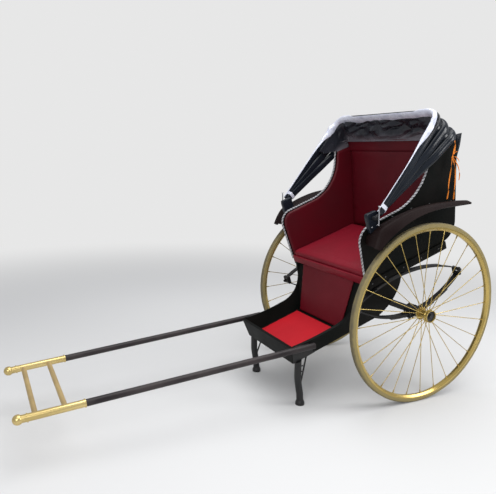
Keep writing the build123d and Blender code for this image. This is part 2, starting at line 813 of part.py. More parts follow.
hinge += tube_y(bow_pin_radius, hinge_u, hinge_w, hinge_plate_y, head_y)
hinge += tube_y(shoulder_radius, hinge_u, hinge_w, head_y, head_y + pin_shoulder)
save_pair("hood_hinge", tipped(hinge))

# Bows and folds, drawn upright in the plane of the bow and then laid back to their angle.
for name, length, angle, rank in zip(bow_names, bow_lengths, bow_angles, bow_ranks):
    eye_y = bow_middle_y + rank * bow_spacing
    path = FilletPolyline(
        (0, eye_y, 0), (0, eye_y, length), (0, -eye_y, length), (0, -eye_y, 0), radius=bow_corner
    )
    bow = sweep(Plane(path @ 0, z_dir=path % 0) * Circle(bow_rod_radius), path)
    for side in (1, -1):
        bow += tube_y(bow_eye_radius, 0, 0, side * (eye_y - bow_eye_width / 2),
                      side * (eye_y + bow_eye_width / 2))
        bow -= tube_y(bow_pin_radius + running_gap, 0, 0, side * (eye_y - bow_eye_width),
                      side * (eye_y + bow_eye_width))

    # The fold is thin by the hinge and thick at the corners, open inside for the bow.
    arm_top = length - bow_corner
    arms = []
    for side in (1, -1):
        low = Plane(origin=(0, side * bow_middle_y, fold_start), z_dir=(0, 0, 1))
        high = Plane(origin=(0, side * bow_middle_y, arm_top), z_dir=(0, 0, 1))
        arms.append(
            loft(
                [
                    low * Rectangle(2 * fold_taper * fold_start, 2 * fold_half_width),
                    high * Rectangle(2 * fold_radius, 2 * fold_half_width),
                ]
            )
        )
    half_span = bow_middle_y
    top = FilletPolyline(
        (0, half_span, arm_top),
        (0, half_span, length),
        (0, -half_span, length),
        (0, -half_span, arm_top),
        radius=bow_corner - pad_gap,
    )
    section = Plane(top @ 0, x_dir=(1, 0, 0), z_dir=top % 0)
    fold = sweep(section * Rectangle(2 * fold_radius, 2 * fold_half_width), top)
    fold += arms[0]
    fold += arms[1]
    fold -= sweep(Plane(path @ 0, z_dir=path % 0) * Circle(bow_rod_radius + pad_gap), path)
    place = Pos(hinge_u, 0, hinge_w) * Rot(0, -(90 - angle), 0)
    save(f"hood_bow_{name}", tipped(place * bow))
    save(f"hood_fold_{name}", tipped(place * fold))
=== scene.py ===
import bmesh
import bpy
from math import atan2, cos, pi, radians, sin, sqrt, tan
from mathutils import Matrix, Vector, noise


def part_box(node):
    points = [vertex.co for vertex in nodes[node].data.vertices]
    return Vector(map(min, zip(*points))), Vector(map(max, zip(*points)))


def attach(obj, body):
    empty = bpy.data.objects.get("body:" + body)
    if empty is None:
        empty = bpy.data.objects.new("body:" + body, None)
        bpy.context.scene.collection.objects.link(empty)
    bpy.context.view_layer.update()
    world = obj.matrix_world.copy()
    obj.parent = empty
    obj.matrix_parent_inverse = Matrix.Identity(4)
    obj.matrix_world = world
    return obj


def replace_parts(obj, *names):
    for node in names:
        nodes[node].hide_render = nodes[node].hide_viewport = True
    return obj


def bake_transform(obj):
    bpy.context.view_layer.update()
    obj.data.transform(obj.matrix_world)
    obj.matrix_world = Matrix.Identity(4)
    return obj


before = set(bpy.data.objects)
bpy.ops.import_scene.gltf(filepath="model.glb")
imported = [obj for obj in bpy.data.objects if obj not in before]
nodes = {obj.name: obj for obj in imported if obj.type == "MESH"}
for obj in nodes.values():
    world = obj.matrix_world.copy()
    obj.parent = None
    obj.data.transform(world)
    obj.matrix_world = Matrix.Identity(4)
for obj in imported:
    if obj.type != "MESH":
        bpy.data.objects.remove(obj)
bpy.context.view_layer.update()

# The view: an eye-level camera ahead of the cart and to its left, looking back at the seat.
# The picture's middle line lies a little off the lens axis, so the lens is shifted.
picture = 496
camera_data = bpy.data.cameras.new("camera")
camera = bpy.data.objects.new("camera", camera_data)
bpy.context.scene.collection.objects.link(camera)
bpy.context.scene.camera = camera
eye = Vector((1.3766, 2.493, 1.323))
heading, dip, lean = -2.028, -0.211, 0.024
ahead = Vector((cos(dip) * cos(heading), cos(dip) * sin(heading), sin(dip)))
level = Vector((sin(heading), -cos(heading), 0.0))
upright = level.cross(ahead)
side = level * cos(lean) + upright * sin(lean)
top = upright * cos(lean) - level * sin(lean)
camera.matrix_world = Matrix.Translation(eye) @ Matrix((side, top, -ahead)).transposed().to_4x4()
camera_data.sensor_width = 36.0
camera_data.lens = 532.33 / picture * camera_data.sensor_width
camera_data.shift_x = (picture / 2 - 232.4) / picture
camera_data.shift_y = (268.77 - 247.0) / picture

# The studio: a pale seamless floor and three soft lamps, the largest overhead like an
# open sky, so that dark paint and vinyl still show their highlights.
scene = bpy.context.scene
scene.view_settings.view_transform = "Standard"
world = bpy.data.worlds.new("studio")
scene.world = world
world.use_nodes = True


def feed(tree, node, given):
    """Give each named input of a node its value, or a link where it is given one of another
    node's outputs, or that node itself for its first output in use."""
    for socket, value in given.items():
        if isinstance(value, bpy.types.Node):
            value = next(output for output in value.outputs if output.enabled)
        if isinstance(value, bpy.types.NodeSocket):
            tree.links.new(value, node.inputs[socket])
        else:
            node.inputs[socket].default_value = value


def add_node(tree, kind, given=None, **settings):
    """Add a shader node with its settings, and feed it what it is given."""
    node = tree.nodes.new(kind)
    for setting, value in settings.items():
        setattr(node, setting, value)
    feed(tree, node, given or {})
    return node


def new_material(name):
    """A new material, with its node tree and its shader."""
    material = bpy.data.materials.new(name)
    material.use_nodes = True
    return material, material.node_tree, material.node_tree.nodes["Principled BSDF"]


backdrop_grey = (0.80, 0.80, 0.80, 1.0)
tree = world.node_tree
sky = tree.nodes["Background"]
feed(tree, sky, {"Color": (0.86, 0.88, 0.92, 1.0), "Strength": 0.5})
backdrop = add_node(tree, "ShaderNodeBackground", {"Color": backdrop_grey, "Strength": 1.0})
ray = add_node(tree, "ShaderNodeLightPath")
seen = add_node(tree, "ShaderNodeMixShader", {"Fac": ray.outputs["Is Camera Ray"], 1: sky, 2: backdrop})
feed(tree, tree.nodes["World Output"], {"Surface": seen})

# The floor fades into the backdrop between two distances from the cart.
floor_size, fade_start, fade_end = 30.0, 2.2, 5.5
bm = bmesh.new()
bmesh.ops.create_grid(bm, x_segments=1, y_segments=1, size=floor_size / 2)
floor_mesh = bpy.data.meshes.new("floor")
bm.to_mesh(floor_mesh)
bm.free()
floor = bpy.data.objects.new("floor", floor_mesh)
scene.collection.objects.link(floor)
floor_paint, tree, floor_shader = new_material("floor")
feed(tree, floor_shader, {"Base Color": (0.62, 0.62, 0.62, 1.0), "Roughness": 0.85})
spot = add_node(tree, "ShaderNodeTexCoord")
away = add_node(tree, "ShaderNodeVectorMath", {0: spot.outputs["Object"]}, operation="LENGTH")
fade = add_node(tree, "ShaderNodeMapRange", {
    "Value": away, "From Min": fade_start, "From Max": fade_end,
}, interpolation_type="SMOOTHSTEP")
glow = add_node(tree, "ShaderNodeEmission", {"Color": backdrop_grey})
ray = add_node(tree, "ShaderNodeLightPath")
share = add_node(tree, "ShaderNodeMath", {
    0: fade, 1: ray.outputs["Is Camera Ray"],
}, operation="MULTIPLY")
blended = add_node(tree, "ShaderNodeMixShader", {"Fac": share, 1: floor_shader, 2: glow})
feed(tree, tree.nodes["Material Output"], {"Surface": blended})
floor_mesh.materials.append(floor_paint)

# Each lamp: name, where it hangs, where it points, its width and its power in watts.
lamps = (
    ("overhead", (-0.6, 0.4, 4.2), (-0.3, 0.0, 0.6), 4.0, 170.0),
    ("front_left", (2.6, 3.4, 2.6), (-0.3, 0.0, 0.7), 2.2, 85.0),
    ("rear_left", (-3.4, 2.2, 2.4), (-0.6, 0.0, 0.9), 1.6, 60.0),
)
for name, place, target, width, power in lamps:
    lamp_data = bpy.data.lights.new(name, "AREA")
    lamp_data.size = width
    lamp_data.energy = power
    lamp = bpy.data.objects.new(name, lamp_data)
    lamp.location = place
    lamp.rotation_euler = (Vector(target) - Vector(place)).to_track_quat("-Z", "Y").to_euler()
    scene.collection.objects.link(lamp)

# Wheels: solid rubber tyres on rolled steel rims, held by straight wire spokes. The rims,
# spokes and hubs are painted gold, and the paint was brushed over the tyre's side walls.
both_sides = (("left", 1), ("right", -1))
wheel_low, wheel_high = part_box("tyre_left")
axle_x = (wheel_low.x + wheel_high.x) / 2
axle_z = (wheel_low.z + wheel_high.z) / 2
wheel_radius = (wheel_high.z - wheel_low.z) / 2
track_half = (wheel_low.y + wheel_high.y) / 2


def worn_paint_group():
    """Paint that has dulled in clouds and worn through in small spots to what is below."""
    group = bpy.data.node_groups.new("worn paint", "ShaderNodeTree")
    for way, kind, labels in (
        ("INPUT", "Color", ("Paint", "Dulled", "Bare")),
        ("INPUT", "Float", ("Cloud size", "Spot size", "Worn share", "Gloss low", "Gloss high")),
        ("OUTPUT", "Color", ("Color",)),
        ("OUTPUT", "Float", ("Roughness", "Height")),
    ):
        for label in labels:
            group.interface.new_socket(label, in_out=way, socket_type=f"NodeSocket{kind}")
    given, result = group.nodes.new("NodeGroupInput"), group.nodes.new("NodeGroupOutput")
    place = add_node(group, "ShaderNodeTexCoord").outputs["Object"]
    cloud = add_node(group, "ShaderNodeTexNoise", {
        "Vector": place, "Scale": given.outputs["Cloud size"], "Detail": 5.0,
    })
    spot = add_node(group, "ShaderNodeTexNoise", {
        "Vector": place, "Scale": given.outputs["Spot size"], "Detail": 6.0, "Roughness": 0.7,
    })
    spread = add_node(group, "ShaderNodeMapRange", {"Value": cloud, "From Min": 0.35, "From Max": 0.65})
    dull = add_node(group, "ShaderNodeMix", {
        "Factor": spread, "A": given.outputs["Paint"], "B": given.outputs["Dulled"],
    }, data_type="RGBA")
    share = add_node(group, "ShaderNodeMath", {0: given.outputs["Worn share"], 1: 0.3}, operation="MULTIPLY")
    edge = add_node(group, "ShaderNodeMath", {0: 0.78, 1: share}, operation="SUBTRACT")
    soft_edge = add_node(group, "ShaderNodeMath", {0: edge, 1: 0.05}, operation="ADD")
    worn = add_node(group, "ShaderNodeMapRange", {"Value": spot, "From Min": edge, "From Max": soft_edge})
    bare = add_node(group, "ShaderNodeMix", {
        "Factor": worn, "A": dull, "B": given.outputs["Bare"],
    }, data_type="RGBA")
    gloss = add_node(group, "ShaderNodeMapRange", {
        "Value": cloud, "From Min": 0.3, "From Max": 0.7,
        "To Min": given.outputs["Gloss low"], "To Max": given.outputs["Gloss high"],
    })
    relief = add_node(group, "ShaderNodeMath", {0: spot, 1: worn}, operation="SUBTRACT")
    feed(group, result, {"Color": bare, "Roughness": gloss, "Height": relief})
    return group


worn_paint = worn_paint_group()


def painted(
    name, paint, dulled, bare, gloss, cloud=6.0, spot=60.0, share=0.3, metallic=0.0, shine=0.5, relief=0.25
):
    """A material of worn paint over whatever lies below it."""
    material, tree, shader = new_material(name)
    wear = add_node(tree, "ShaderNodeGroup", {
        "Paint": (*paint, 1), "Dulled": (*dulled, 1), "Bare": (*bare, 1), "Cloud size": cloud,
        "Spot size": spot, "Worn share": share, "Gloss low": gloss[0], "Gloss high": gloss[1],
    }, node_tree=worn_paint, name="wear")
    bump = add_node(tree, "ShaderNodeBump", {
        "Strength": relief, "Distance": 0.001, "Height": wear.outputs["Height"],
    })
    feed(tree, shader, {
        "Base Color": wear, "Roughness": wear.outputs["Roughness"], "Normal": bump,
        "Metallic": metallic, "Specular IOR Level": shine,
    })
    return material


def finished_piece(name, bm, material, body, crease=None):
    """Close a bmesh into a smooth-shaded object that moves with its body. Edges that turn by
    more than the crease, in degrees, stay sharp."""
    data = bpy.data.meshes.new(name)
    bm.to_mesh(data)
    bm.free()
    data.materials.append(material)
    data.shade_smooth()
    if crease:
        data.set_sharp_from_angle(angle=radians(crease))
    piece = bpy.data.objects.new(name, data)
    scene.collection.objects.link(piece)
    if body:
        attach(piece, body)
    return piece


def finish_nodes(material, single=(), paired=()):
    """Give a finish to pieces of the frame, single ones and ones there is of each side."""
    for name in (*single, *(f"{pair}_{side_name}" for pair in paired for side_name, _ in both_sides)):
        data = nodes[name].data
        data.materials.clear()
        data.materials.append(material)


gold = painted(
    "gold_paint", (0.56, 0.41, 0.125), (0.43, 0.315, 0.100), (0.20, 0.16, 0.07), (0.16, 0.27),
    cloud=7.0, spot=90.0, share=0.06, metallic=0.75, relief=0.03,
)
# The axle nut and washer are dark steel, painted darker still as a painted shade for the drum's hollow round
# them.
cap_steel = painted(
    "cap_steel", (0.050, 0.050, 0.052), (0.026, 0.026, 0.028), (0.10, 0.06, 0.04), (0.25, 0.45),
    metallic=0.7,
)

# Tyres: solid grey rubber, sprung onto the rims. The rims' gold was brushed on over them, and
# along the tread the road has worn it off again.
tyre_rubber = painted(
    "tyre_rubber", (0.036, 0.036, 0.037), (0.060, 0.058, 0.055), (0.105, 0.098, 0.090), (0.6, 0.85),
    cloud=14.0, spot=120.0, share=0.35,
)
wall_gold = (0.235, 0.185, 0.072, 1)
# How far the ragged edge of the gold wanders, and where the paint ends and is whole, as
# distances out and in from the tread.
ragged_depth, bare_tread, full_paint = 0.012, 0.0115, 0.0005
tree = tyre_rubber.node_tree
place = add_node(tree, "ShaderNodeTexCoord").outputs["Object"]
centre = add_node(tree, "ShaderNodeMapping", {
    "Vector": place, "Location": (-axle_x, 0.0, -axle_z),
}, vector_type="POINT")
flat = add_node(tree, "ShaderNodeVectorMath", {0: centre, 1: (1.0, 0.0, 1.0)}, operation="MULTIPLY")
reach = add_node(tree, "ShaderNodeVectorMath", {0: flat}, operation="LENGTH")
ragged = add_node(tree, "ShaderNodeTexNoise", {"Vector": place, "Scale": 45.0, "Detail": 5.0})
shifted = add_node(tree, "ShaderNodeMath", {
    0: ragged, 1: ragged_depth, 2: reach,
}, operation="MULTIPLY_ADD")
edge = add_node(tree, "ShaderNodeMapRange", {
    "Value": shifted,
    "From Min": wheel_radius + bare_tread, "From Max": wheel_radius - full_paint,
})
painted_wall = add_node(tree, "ShaderNodeMix", {
    "Factor": edge, "A": tree.nodes["wear"], "B": wall_gold,
}, data_type="RGBA")
feed(tree, tree.nodes["Principled BSDF"], {"Base Color": painted_wall})

finish_nodes(tyre_rubber, paired=("tyre",))
finish_nodes(gold, paired=("rim",))

# Hubs: each is turned in one piece, a barrel between two flanges with a drum outside that
# shields the axle nut. Every second spoke is headed in the outer flange and the others in
# the inner one, and each runs straight out to a nipple in the rim.
hub_corners = (
    (0.0101, -0.046), (0.023, -0.046), (0.024, -0.045), (0.024, -0.030), (0.035, -0.029),
    (0.036, -0.028), (0.036, -0.026), (0.035, -0.025), (0.024, -0.024), (0.024, 0.024),
    (0.035, 0.025), (0.036, 0.026), (0.036, 0.028), (0.034, 0.030), (0.034, 0.0445),
    (0.0335, 0.0455), (0.0325, 0.046), (0.0310, 0.0455), (0.0305, 0.0445), (0.030, 0.036),
    (0.0101, 0.036),
)
washer_corners = ((0.0, 0.0361), (0.0298, 0.0361), (0.0298, 0.0375), (0.029, 0.038), (0.0, 0.038))
# Each part of the nut: where it starts and ends along the axle, its radii there, its sides.
nut_parts = ((0.0375, 0.0455, 0.0135, 0.0125, 6), (0.0370, 0.0390, 0.0165, 0.0165, 24))
spoke_count, spoke_phase, spoke_radius = 28, 10.0, 0.0020
spoke_ring, spoke_y, spoke_reach = 0.031, 0.0228, 0.4595
nipple_length, nipple_foot, nipple_tip = 0.018, 0.0029, 0.0040
head_length, head_foot, head_tip = 0.0085, 0.0026, 0.0034


def turned(corners, closed=True, steps=64):
    """Spin a profile, each corner a radius and a place along the axle, all the way round."""
    bm = bmesh.new()
    line = [bm.verts.new((radius, along, 0.0)) for radius, along in corners]
    edges = [bm.edges.new(pair) for pair in zip(line, line[1:])]
    if closed:
        edges.append(bm.edges.new((line[-1], line[0])))
    bmesh.ops.spin(
        bm, geom=line + edges, cent=(0, 0, 0), axis=(0, 1, 0), angle=2 * pi, steps=steps, use_merge=True
    )
    bmesh.ops.remove_doubles(bm, verts=bm.verts, dist=1e-6)
    return bm


def aimed(spot, way):
    """The matrix that puts a mesh's middle at a spot, and its Z axis along a way."""
    return Matrix.Translation(spot) @ way.to_track_quat("Z", "Y").to_matrix().to_4x4()


def add_rod(bm, start, end, start_radius, end_radius, sides=12):
    """Add a straight round rod, closed at both ends."""
    bmesh.ops.create_cone(
        bm, cap_ends=True, segments=sides, radius1=start_radius, radius2=end_radius,
        depth=(end - start).length, matrix=aimed((start + end) / 2, end - start),
    )


def on_wheel(bm, side):
    """Put a mesh made at the middle of the left wheel where the wheel of that side is."""
    bmesh.ops.scale(bm, vec=(1, side, 1), verts=bm.verts)
    bmesh.ops.translate(bm, vec=(axle_x, side * track_half, axle_z), verts=bm.verts)
    bmesh.ops.recalc_face_normals(bm, faces=bm.faces)
    return bm


for side_name, side in both_sides:
    body = f"wheel_{side_name}"
    hub = finished_piece(f"turned_hub_{side_name}", on_wheel(turned(hub_corners), side), gold, body, 40)
    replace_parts(hub, f"hub_{side_name}")
    bm = bmesh.new()
    for i in range(spoke_count):
        at = radians(spoke_phase + i * 360 / spoke_count)
        out = 1 if i % 2 else -1
        way = Vector((cos(at), 0.0, sin(at)))
        foot = way * spoke_ring + Vector((0.0, out * spoke_y, 0.0))
        tip = way * spoke_reach
        add_rod(bm, foot, tip, spoke_radius, spoke_radius, 10)
        run = (tip - foot).normalized()
        add_rod(bm, tip - run * nipple_length, tip, nipple_foot, nipple_tip, 8)
        head = Vector((0.0, out * head_length, 0.0))
        add_rod(bm, foot - head * 0.2, foot + head, head_foot, head_tip, 8)
    spokes = finished_piece(f"straight_spokes_{side_name}", on_wheel(bm, side), gold, body, 40)
    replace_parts(spokes, f"spokes_{side_name}")
    bm = turned(washer_corners, closed=False)
    for low, high, low_radius, high_radius, sides in nut_parts:
        add_rod(bm, Vector((0, low, 0)), Vector((0, high, 0)), low_radius, high_radius, sides)
    nut = finished_piece(f"axle_nut_{side_name}", on_wheel(bm, side), cap_steel, body, 30)
    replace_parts(nut, f"hub_cap_{side_name}")

# Iron work: the axle, leaf springs, clamps, legs, braces, brackets and hood hinges are
# forged or bent iron, brushed black and rusted a little where the paint has gone.
black_iron = painted(
    "black_iron", (0.0075, 0.0078, 0.0085), (0.015, 0.014, 0.014), (0.055, 0.030, 0.020), (0.34, 0.55),
    cloud=12.0, spot=80.0, share=0.28, shine=0.35,
)
finish_nodes(
    black_iron, ("axle", "spring_shackles", "spring_clamps", "spring_blocks", "leg_braces"),
    ("spring_upper", "spring_lower", "leg", "shaft_bracket", "hood_hinge"),
)

# Cab boards: planed boards glued and screwed into a seat box and a footwell, painted black
# and gone brown where hands and feet rub them.
black_board = painted(
    "black_board", (0.0030, 0.0042, 0.0036), (0.0070, 0.0064, 0.0058), (0.045, 0.028, 0.020), (0.36, 0.55),
    cloud=5.0, spot=45.0, share=0.18, shine=0.05, relief=0.15,
)
finish_nodes(black_board, (
    "seat_board", "seat_rails", "back_board", "foot_floor", "front_board", "heel_board", "calf_board",
), ("side_board", "foot_side"))

# Skirting: a plain painted board closes each side of the seat below the side board, screwed
# to the rail with its edges rounded over.
cab_tilt = radians(19.8)
on_cab = Matrix.Translation((axle_x, 0, 0)) @ Matrix.Rotation(cab_tilt, 4, "Y")
seat_half_width, seat_top, seat_lean = 0.358, 0.756, radians(6.0)
skirt_low, skirt_high, skirt_rear, skirt_front = 0.712, 0.7555, -0.490, 0.072
skirt_thickness, skirt_gap, skirt_rounding = 0.009, 0.0003, 0.0015


def add_block(bm, low, high):
    """Add a square block between two corners, each along, across and up the cab."""
    made = bmesh.ops.create_cube(bm, size=1.0)["verts"]
    middle, size = (Vector(low) + Vector(high)) / 2, Vector(high) - Vector(low)
    bmesh.ops.scale(bm, vec=size, verts=made)
    bmesh.ops.translate(bm, vec=middle, verts=made)
    return made


def soft_edges(bm, width, segments=2):
    """Round every edge of a mesh of blocks."""
    bmesh.ops.bevel(
        bm, geom=bm.edges[:], offset=width, offset_type="OFFSET", segments=segments, profile=0.5,
        affect="EDGES", material=-1,
    )


for side_name, side in both_sides:
    bm = bmesh.new()
    ends = sorted((side * (seat_half_width + skirt_gap), side * (seat_half_width + skirt_thickness)))
    add_block(bm, (skirt_rear, ends[0], skirt_low), (skirt_front, ends[1], skirt_high))
    soft_edges(bm, skirt_rounding)
    bmesh.ops.transform(bm, matrix=on_cab, verts=bm.verts)
    finished_piece(f"skirting_{side_name}", bm, black_board, "cab", 40)

# Mudguards: boards bent and pared to a crown over each tyre, screwed to the side board and
# varnished a dark red-brown that has worn dull on top.
brown_board = painted(
    "brown_board", (0.0085, 0.0040, 0.0040), (0.0130, 0.0075, 0.0072), (0.050, 0.033, 0.027), (0.38, 0.56),
    cloud=7.0, spot=40.0, share=0.22, shine=0.07, relief=0.15,
)
fender_thickness = 0.009
fender_crown, fender_shoulder, fender_reach = 0.462, 0.486, 0.502
# The shoulder's share of the drop from the crown to the outer edge, how far the inner edge is
# let into the side board, and how far the front end's corners are rounded back.
shoulder_share, fender_inset, nose_round = 0.3, 0.003, 0.030
# Each row is one cross-section: its place along the cab, then the heights of its inner edge,
# its crown and its outer edge.
fender_rows = (
    (-0.578, 0.966, 0.976, 0.966),
    (-0.450, 0.998, 1.018, 0.996),
    (-0.350, 1.020, 1.044, 1.018),
    (-0.250, 1.034, 1.061, 1.027),
    (-0.150, 1.038, 1.064, 1.022),
    (-0.050, 1.032, 1.056, 1.001),
    (0.000, 1.022, 1.047, 0.984),
    (0.040, 1.002, 1.020, 0.967),
    (0.078, 0.969, 0.977, 0.953),
)


def ease(value, low, high):
    """0 below low, 1 above high, and smooth between."""
    share = min(max((value - low) / (high - low), 0.0), 1.0)
    return share * share * (3 - 2 * share)


def between(rows, share):
    """The index of the last row before a share of the way down them, and how far on it is."""
    spot = share * (len(rows) - 1)
    index = min(int(spot), len(rows) - 2)
    return index, spot - index


def flowing(rows, share):
    """The values at a share of the way down the rows, along a smooth curve through them."""
    index, t = between(rows, share)
    before, here = rows[max(index - 1, 0)], rows[index]
    there, after = rows[index + 1], rows[min(index + 2, len(rows) - 1)]
    return [
        0.5 * (2 * b + (c - a) * t + (2 * a - 5 * b + 4 * c - d) * t * t + (3 * b - a - 3 * c + d) * t ** 3)
        for a, b, c, d in zip(before, here, there, after)
    ]


def grid_sheet(name, material, along, across, place, thickness=0.0012, body=None, crease=None):
    """A sheet: a grid whose points, each two shares from 0 to 1, are put in place. The shares
    stay on the mesh as its UV map."""
    bm = bmesh.new()
    bmesh.ops.create_grid(bm, x_segments=along, y_segments=across, size=0.5)
    shares = bm.loops.layers.uv.new("UVMap")
    for face in bm.faces:
        for corner in face.loops:
            corner[shares].uv = (corner.vert.co.x + 0.5, corner.vert.co.y + 0.5)
    for vert in bm.verts:
        vert.co = place(vert.co.x + 0.5, vert.co.y + 0.5)
    bmesh.ops.recalc_face_normals(bm, faces=bm.faces)
    bmesh.ops.solidify(bm, geom=bm.faces[:], thickness=thickness)
    bmesh.ops.recalc_face_normals(bm, faces=bm.faces)
    return finished_piece(name, bm, material, body, crease)


for side_name, side in both_sides:

    def bent_board(along, across):
        """A point of the mudguard's top, from its rear end forward and from the cab outward."""
        u, inner_w, crown_w, outer_w = flowing(fender_rows, along)
        inner_y = seat_half_width + (inner_w - seat_top) * tan(seat_lean) - fender_inset
        ridge = (
            (inner_y, inner_w),
            (fender_crown, crown_w),
            (fender_shoulder, crown_w - shoulder_share * (crown_w - outer_w)),
            (fender_reach, outer_w),
        )
        y, w = flowing(ridge, across)
        nose = ease(along, 0.86, 1.0) * (2 * across - 1) ** 2
        return on_cab @ Vector((u - nose_round * nose, side * y, w))

    guard = f"mudguard_{side_name}"
    board = grid_sheet(guard, brown_board, 64, 18, bent_board, fender_thickness, "cab", 40)
    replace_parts(board, f"fender_{side_name}")

# Pulling shafts: turned hardwood poles varnished dark, with gilt ferrules at the hands and
# two gilt crossbars let in between them.
shaft_wood = painted(
    "shaft_wood", (0.016, 0.0125, 0.0135), (0.036, 0.029, 0.029), (0.11, 0.08, 0.06), (0.28, 0.45),
    cloud=8.0, spot=50.0, share=0.2, shine=0.25,
)
grip_gold = painted(
    "grip_gold", (0.70, 0.55, 0.24), (0.54, 0.41, 0.16), (0.22, 0.17, 0.09), (0.16, 0.32),
    cloud=9.0, spot=70.0, share=0.15, metallic=0.7, relief=0.05,
)
crossbar_gold = painted(
    "crossbar_gold", (0.50, 0.36, 0.15), (0.38, 0.27, 0.12), (0.18, 0.13, 0.08), (0.38, 0.55),
    cloud=9.0, spot=70.0, share=0.2, metallic=0.35, relief=0.1,
)
finish_nodes(shaft_wood, paired=("shaft",))
finish_nodes(grip_gold, paired=("grip",))
finish_nodes(crossbar_gold, ("crossbar_front", "crossbar_rear"))

# Fasteners: hexagon nuts on the spring eyes, clamps and shaft brackets, and coach bolts and
# screws with domed heads through the boards and the legs, all bare steel gone dull.
fastener_steel = painted(
    "fastener_steel", (0.085, 0.085, 0.088), (0.045, 0.044, 0.045), (0.10, 0.055, 0.035), (0.3, 0.5),
    cloud=20.0, spot=120.0, share=0.3, metallic=0.7,
)


def add_nut(bm, spot, way, size, height):
    """Add a hexagon nut on a washer, with the end of its bolt showing."""
    way = way.normalized()
    add_rod(bm, spot, spot + way * height * 0.22, size * 0.78, size * 0.78, 20)
    add_rod(bm, spot + way * height * 0.2, spot + way * height, size * 0.62, size * 0.58, 6)
    add_rod(bm, spot + way * height * 0.9, spot + way * height * 1.35, size * 0.30, size * 0.27, 12)


def add_dome(bm, spot, way, size):
    """Add a domed bolt or screw head, half sunk."""
    dome = bmesh.ops.create_uvsphere(bm, u_segments=14, v_segments=8, radius=size)["verts"]
    bmesh.ops.transform(bm, matrix=aimed(spot, way) @ Matrix.Diagonal((1.0, 1.0, 0.45, 1.0)), verts=dome)


spring_eyes = ((0.165, 0.652), (-0.552, 0.556))
lower_eye_drop, eye_nut_stand = 0.027, 0.0095
# The clamp's nuts: their shares of the way along it, how far in from the spring's outer side
# they are, and how far sunk into its lower plate.
clamp_nut_places, clamp_nut_insets, clamp_nut_sunk = (0.31, 0.69), (0.002, 0.032), 0.004
clamp_low, clamp_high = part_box("spring_clamps")
bm = bmesh.new()
for side_name, side in both_sides:
    out = Vector((0.0, side, 0.0))
    spring_low, spring_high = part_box(f"spring_upper_{side_name}")
    spring_y = side * max(abs(spring_low.y), abs(spring_high.y))
    for u, w in spring_eyes:
        for drop in (0.0, lower_eye_drop):
            spot = on_cab @ Vector((u, 0.0, w))
            spot = Vector((spot.x, spring_y + side * eye_nut_stand, spot.z - drop))
            add_nut(bm, spot, out, 0.010, 0.008)
    for along in clamp_nut_places:
        for inset in clamp_nut_insets:
            x = clamp_low.x + (clamp_high.x - clamp_low.x) * along
            spot = Vector((x, spring_y - side * inset, clamp_low.z + clamp_nut_sunk))
            add_nut(bm, spot, Vector((0, 0, -1)), 0.008, 0.008)
finished_piece("spring_nuts", bm, fastener_steel, "cab", 30)

screw_inset, screw_size = 0.012, 0.0045
skirt_screw_height, skirt_screw_size = 0.734, 0.0048
bm = bmesh.new()
for side in (1, -1):
    for along in (0.04, 0.20, 0.36, 0.52, 0.68):
        u, inner_w, crown_w, outer_w = flowing(fender_rows, along)
        y = seat_half_width + (inner_w - seat_top) * tan(seat_lean) + screw_inset
        w = inner_w + (crown_w - inner_w) * 0.40
        up = on_cab.to_3x3() @ Vector((0, 0, 1))
        add_dome(bm, on_cab @ Vector((u, side * y, w + 0.001)), up, screw_size)
    for u in (-0.43, -0.30, -0.17, -0.04, 0.05):
        spot = on_cab @ Vector((u, side * (seat_half_width + skirt_thickness), skirt_screw_height))
        add_dome(bm, spot, Vector((0.0, side, 0.0)), skirt_screw_size)
finished_piece("board_screws", bm, fastener_steel, "cab")

bracket_nut_places, bracket_nut_height, bracket_nut_sunk = (0.22, 0.78), 0.80, 0.004
leg_bolt_drops, leg_bolt_sunk, leg_bolt_size = (0.030, 0.062), 0.006, 0.0055
bm = bmesh.new()
for side_name, side in both_sides:
    out = Vector((0.0, side, 0.0))
    low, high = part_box(f"shaft_bracket_{side_name}")
    outside = side * max(abs(low.y), abs(high.y))
    for along in bracket_nut_places:
        rise = (high.z - low.z) * bracket_nut_height
        spot = Vector((low.x + (high.x - low.x) * along, outside, low.z + rise))
        add_nut(bm, spot - out * bracket_nut_sunk, out, 0.0075, 0.007)
    leg_low, leg_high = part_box(f"leg_{side_name}")
    leg_y = side * (max(abs(leg_low.y), abs(leg_high.y)) - leg_bolt_sunk)
    for drop in leg_bolt_drops:
        add_dome(bm, Vector(((leg_low.x + leg_high.x) / 2, leg_y, leg_high.z - drop)), out, leg_bolt_size)
finished_piece("bracket_bolts", bm, fastener_steel, "cab", 30)

# Upholstery: red leathercloth stretched tight over thin padding on every inner face of the
# seat. Each piece swells a little from the shape it was cut to, and rounds at its edges.
red_vinyl = painted(
    "red_vinyl", (0.195, 0.0045, 0.0150), (0.165, 0.0038, 0.0125), (0.20, 0.02, 0.03), (0.40, 0.55),
    cloud=4.0, spot=400.0, share=0.0, shine=0.25,
)
# The calf pad wears the seat's cloth painted darker, a painted shade for its place below the seat's front
# edge.
calf_shaded_vinyl = painted(
    "calf_shaded_vinyl", (0.130, 0.0030, 0.0095), (0.100, 0.0024, 0.0075), (0.15, 0.01, 0.02), (0.40, 0.55),
    cloud=4.0, spot=400.0, share=0.0, shine=0.22,
)
# The side and back pads and the back flap wear the seat's cloth painted darker, a painted shade for the
# upright faces inside the seat.
shaded_red_vinyl = painted(
    "shaded_red_vinyl", (0.078, 0.0017, 0.0058), (0.060, 0.0014, 0.0046), (0.12, 0.01, 0.02), (0.40, 0.55),
    cloud=4.0, spot=400.0, share=0.0, shine=0.22,
)
mat_vinyl = painted(
    "mat_vinyl", (0.46, 0.0065, 0.0150), (0.41, 0.0060, 0.0140), (0.5, 0.03, 0.03), (0.5, 0.65),
    cloud=4.0, spot=400.0, share=0.0, shine=0.2,
)


def baked(piece):
    """Turn a piece's modifiers into its mesh."""
    shape = piece.evaluated_get(bpy.context.evaluated_depsgraph_get())
    data = bpy.data.meshes.new_from_object(shape)
    piece.modifiers.clear()
    piece.data = data


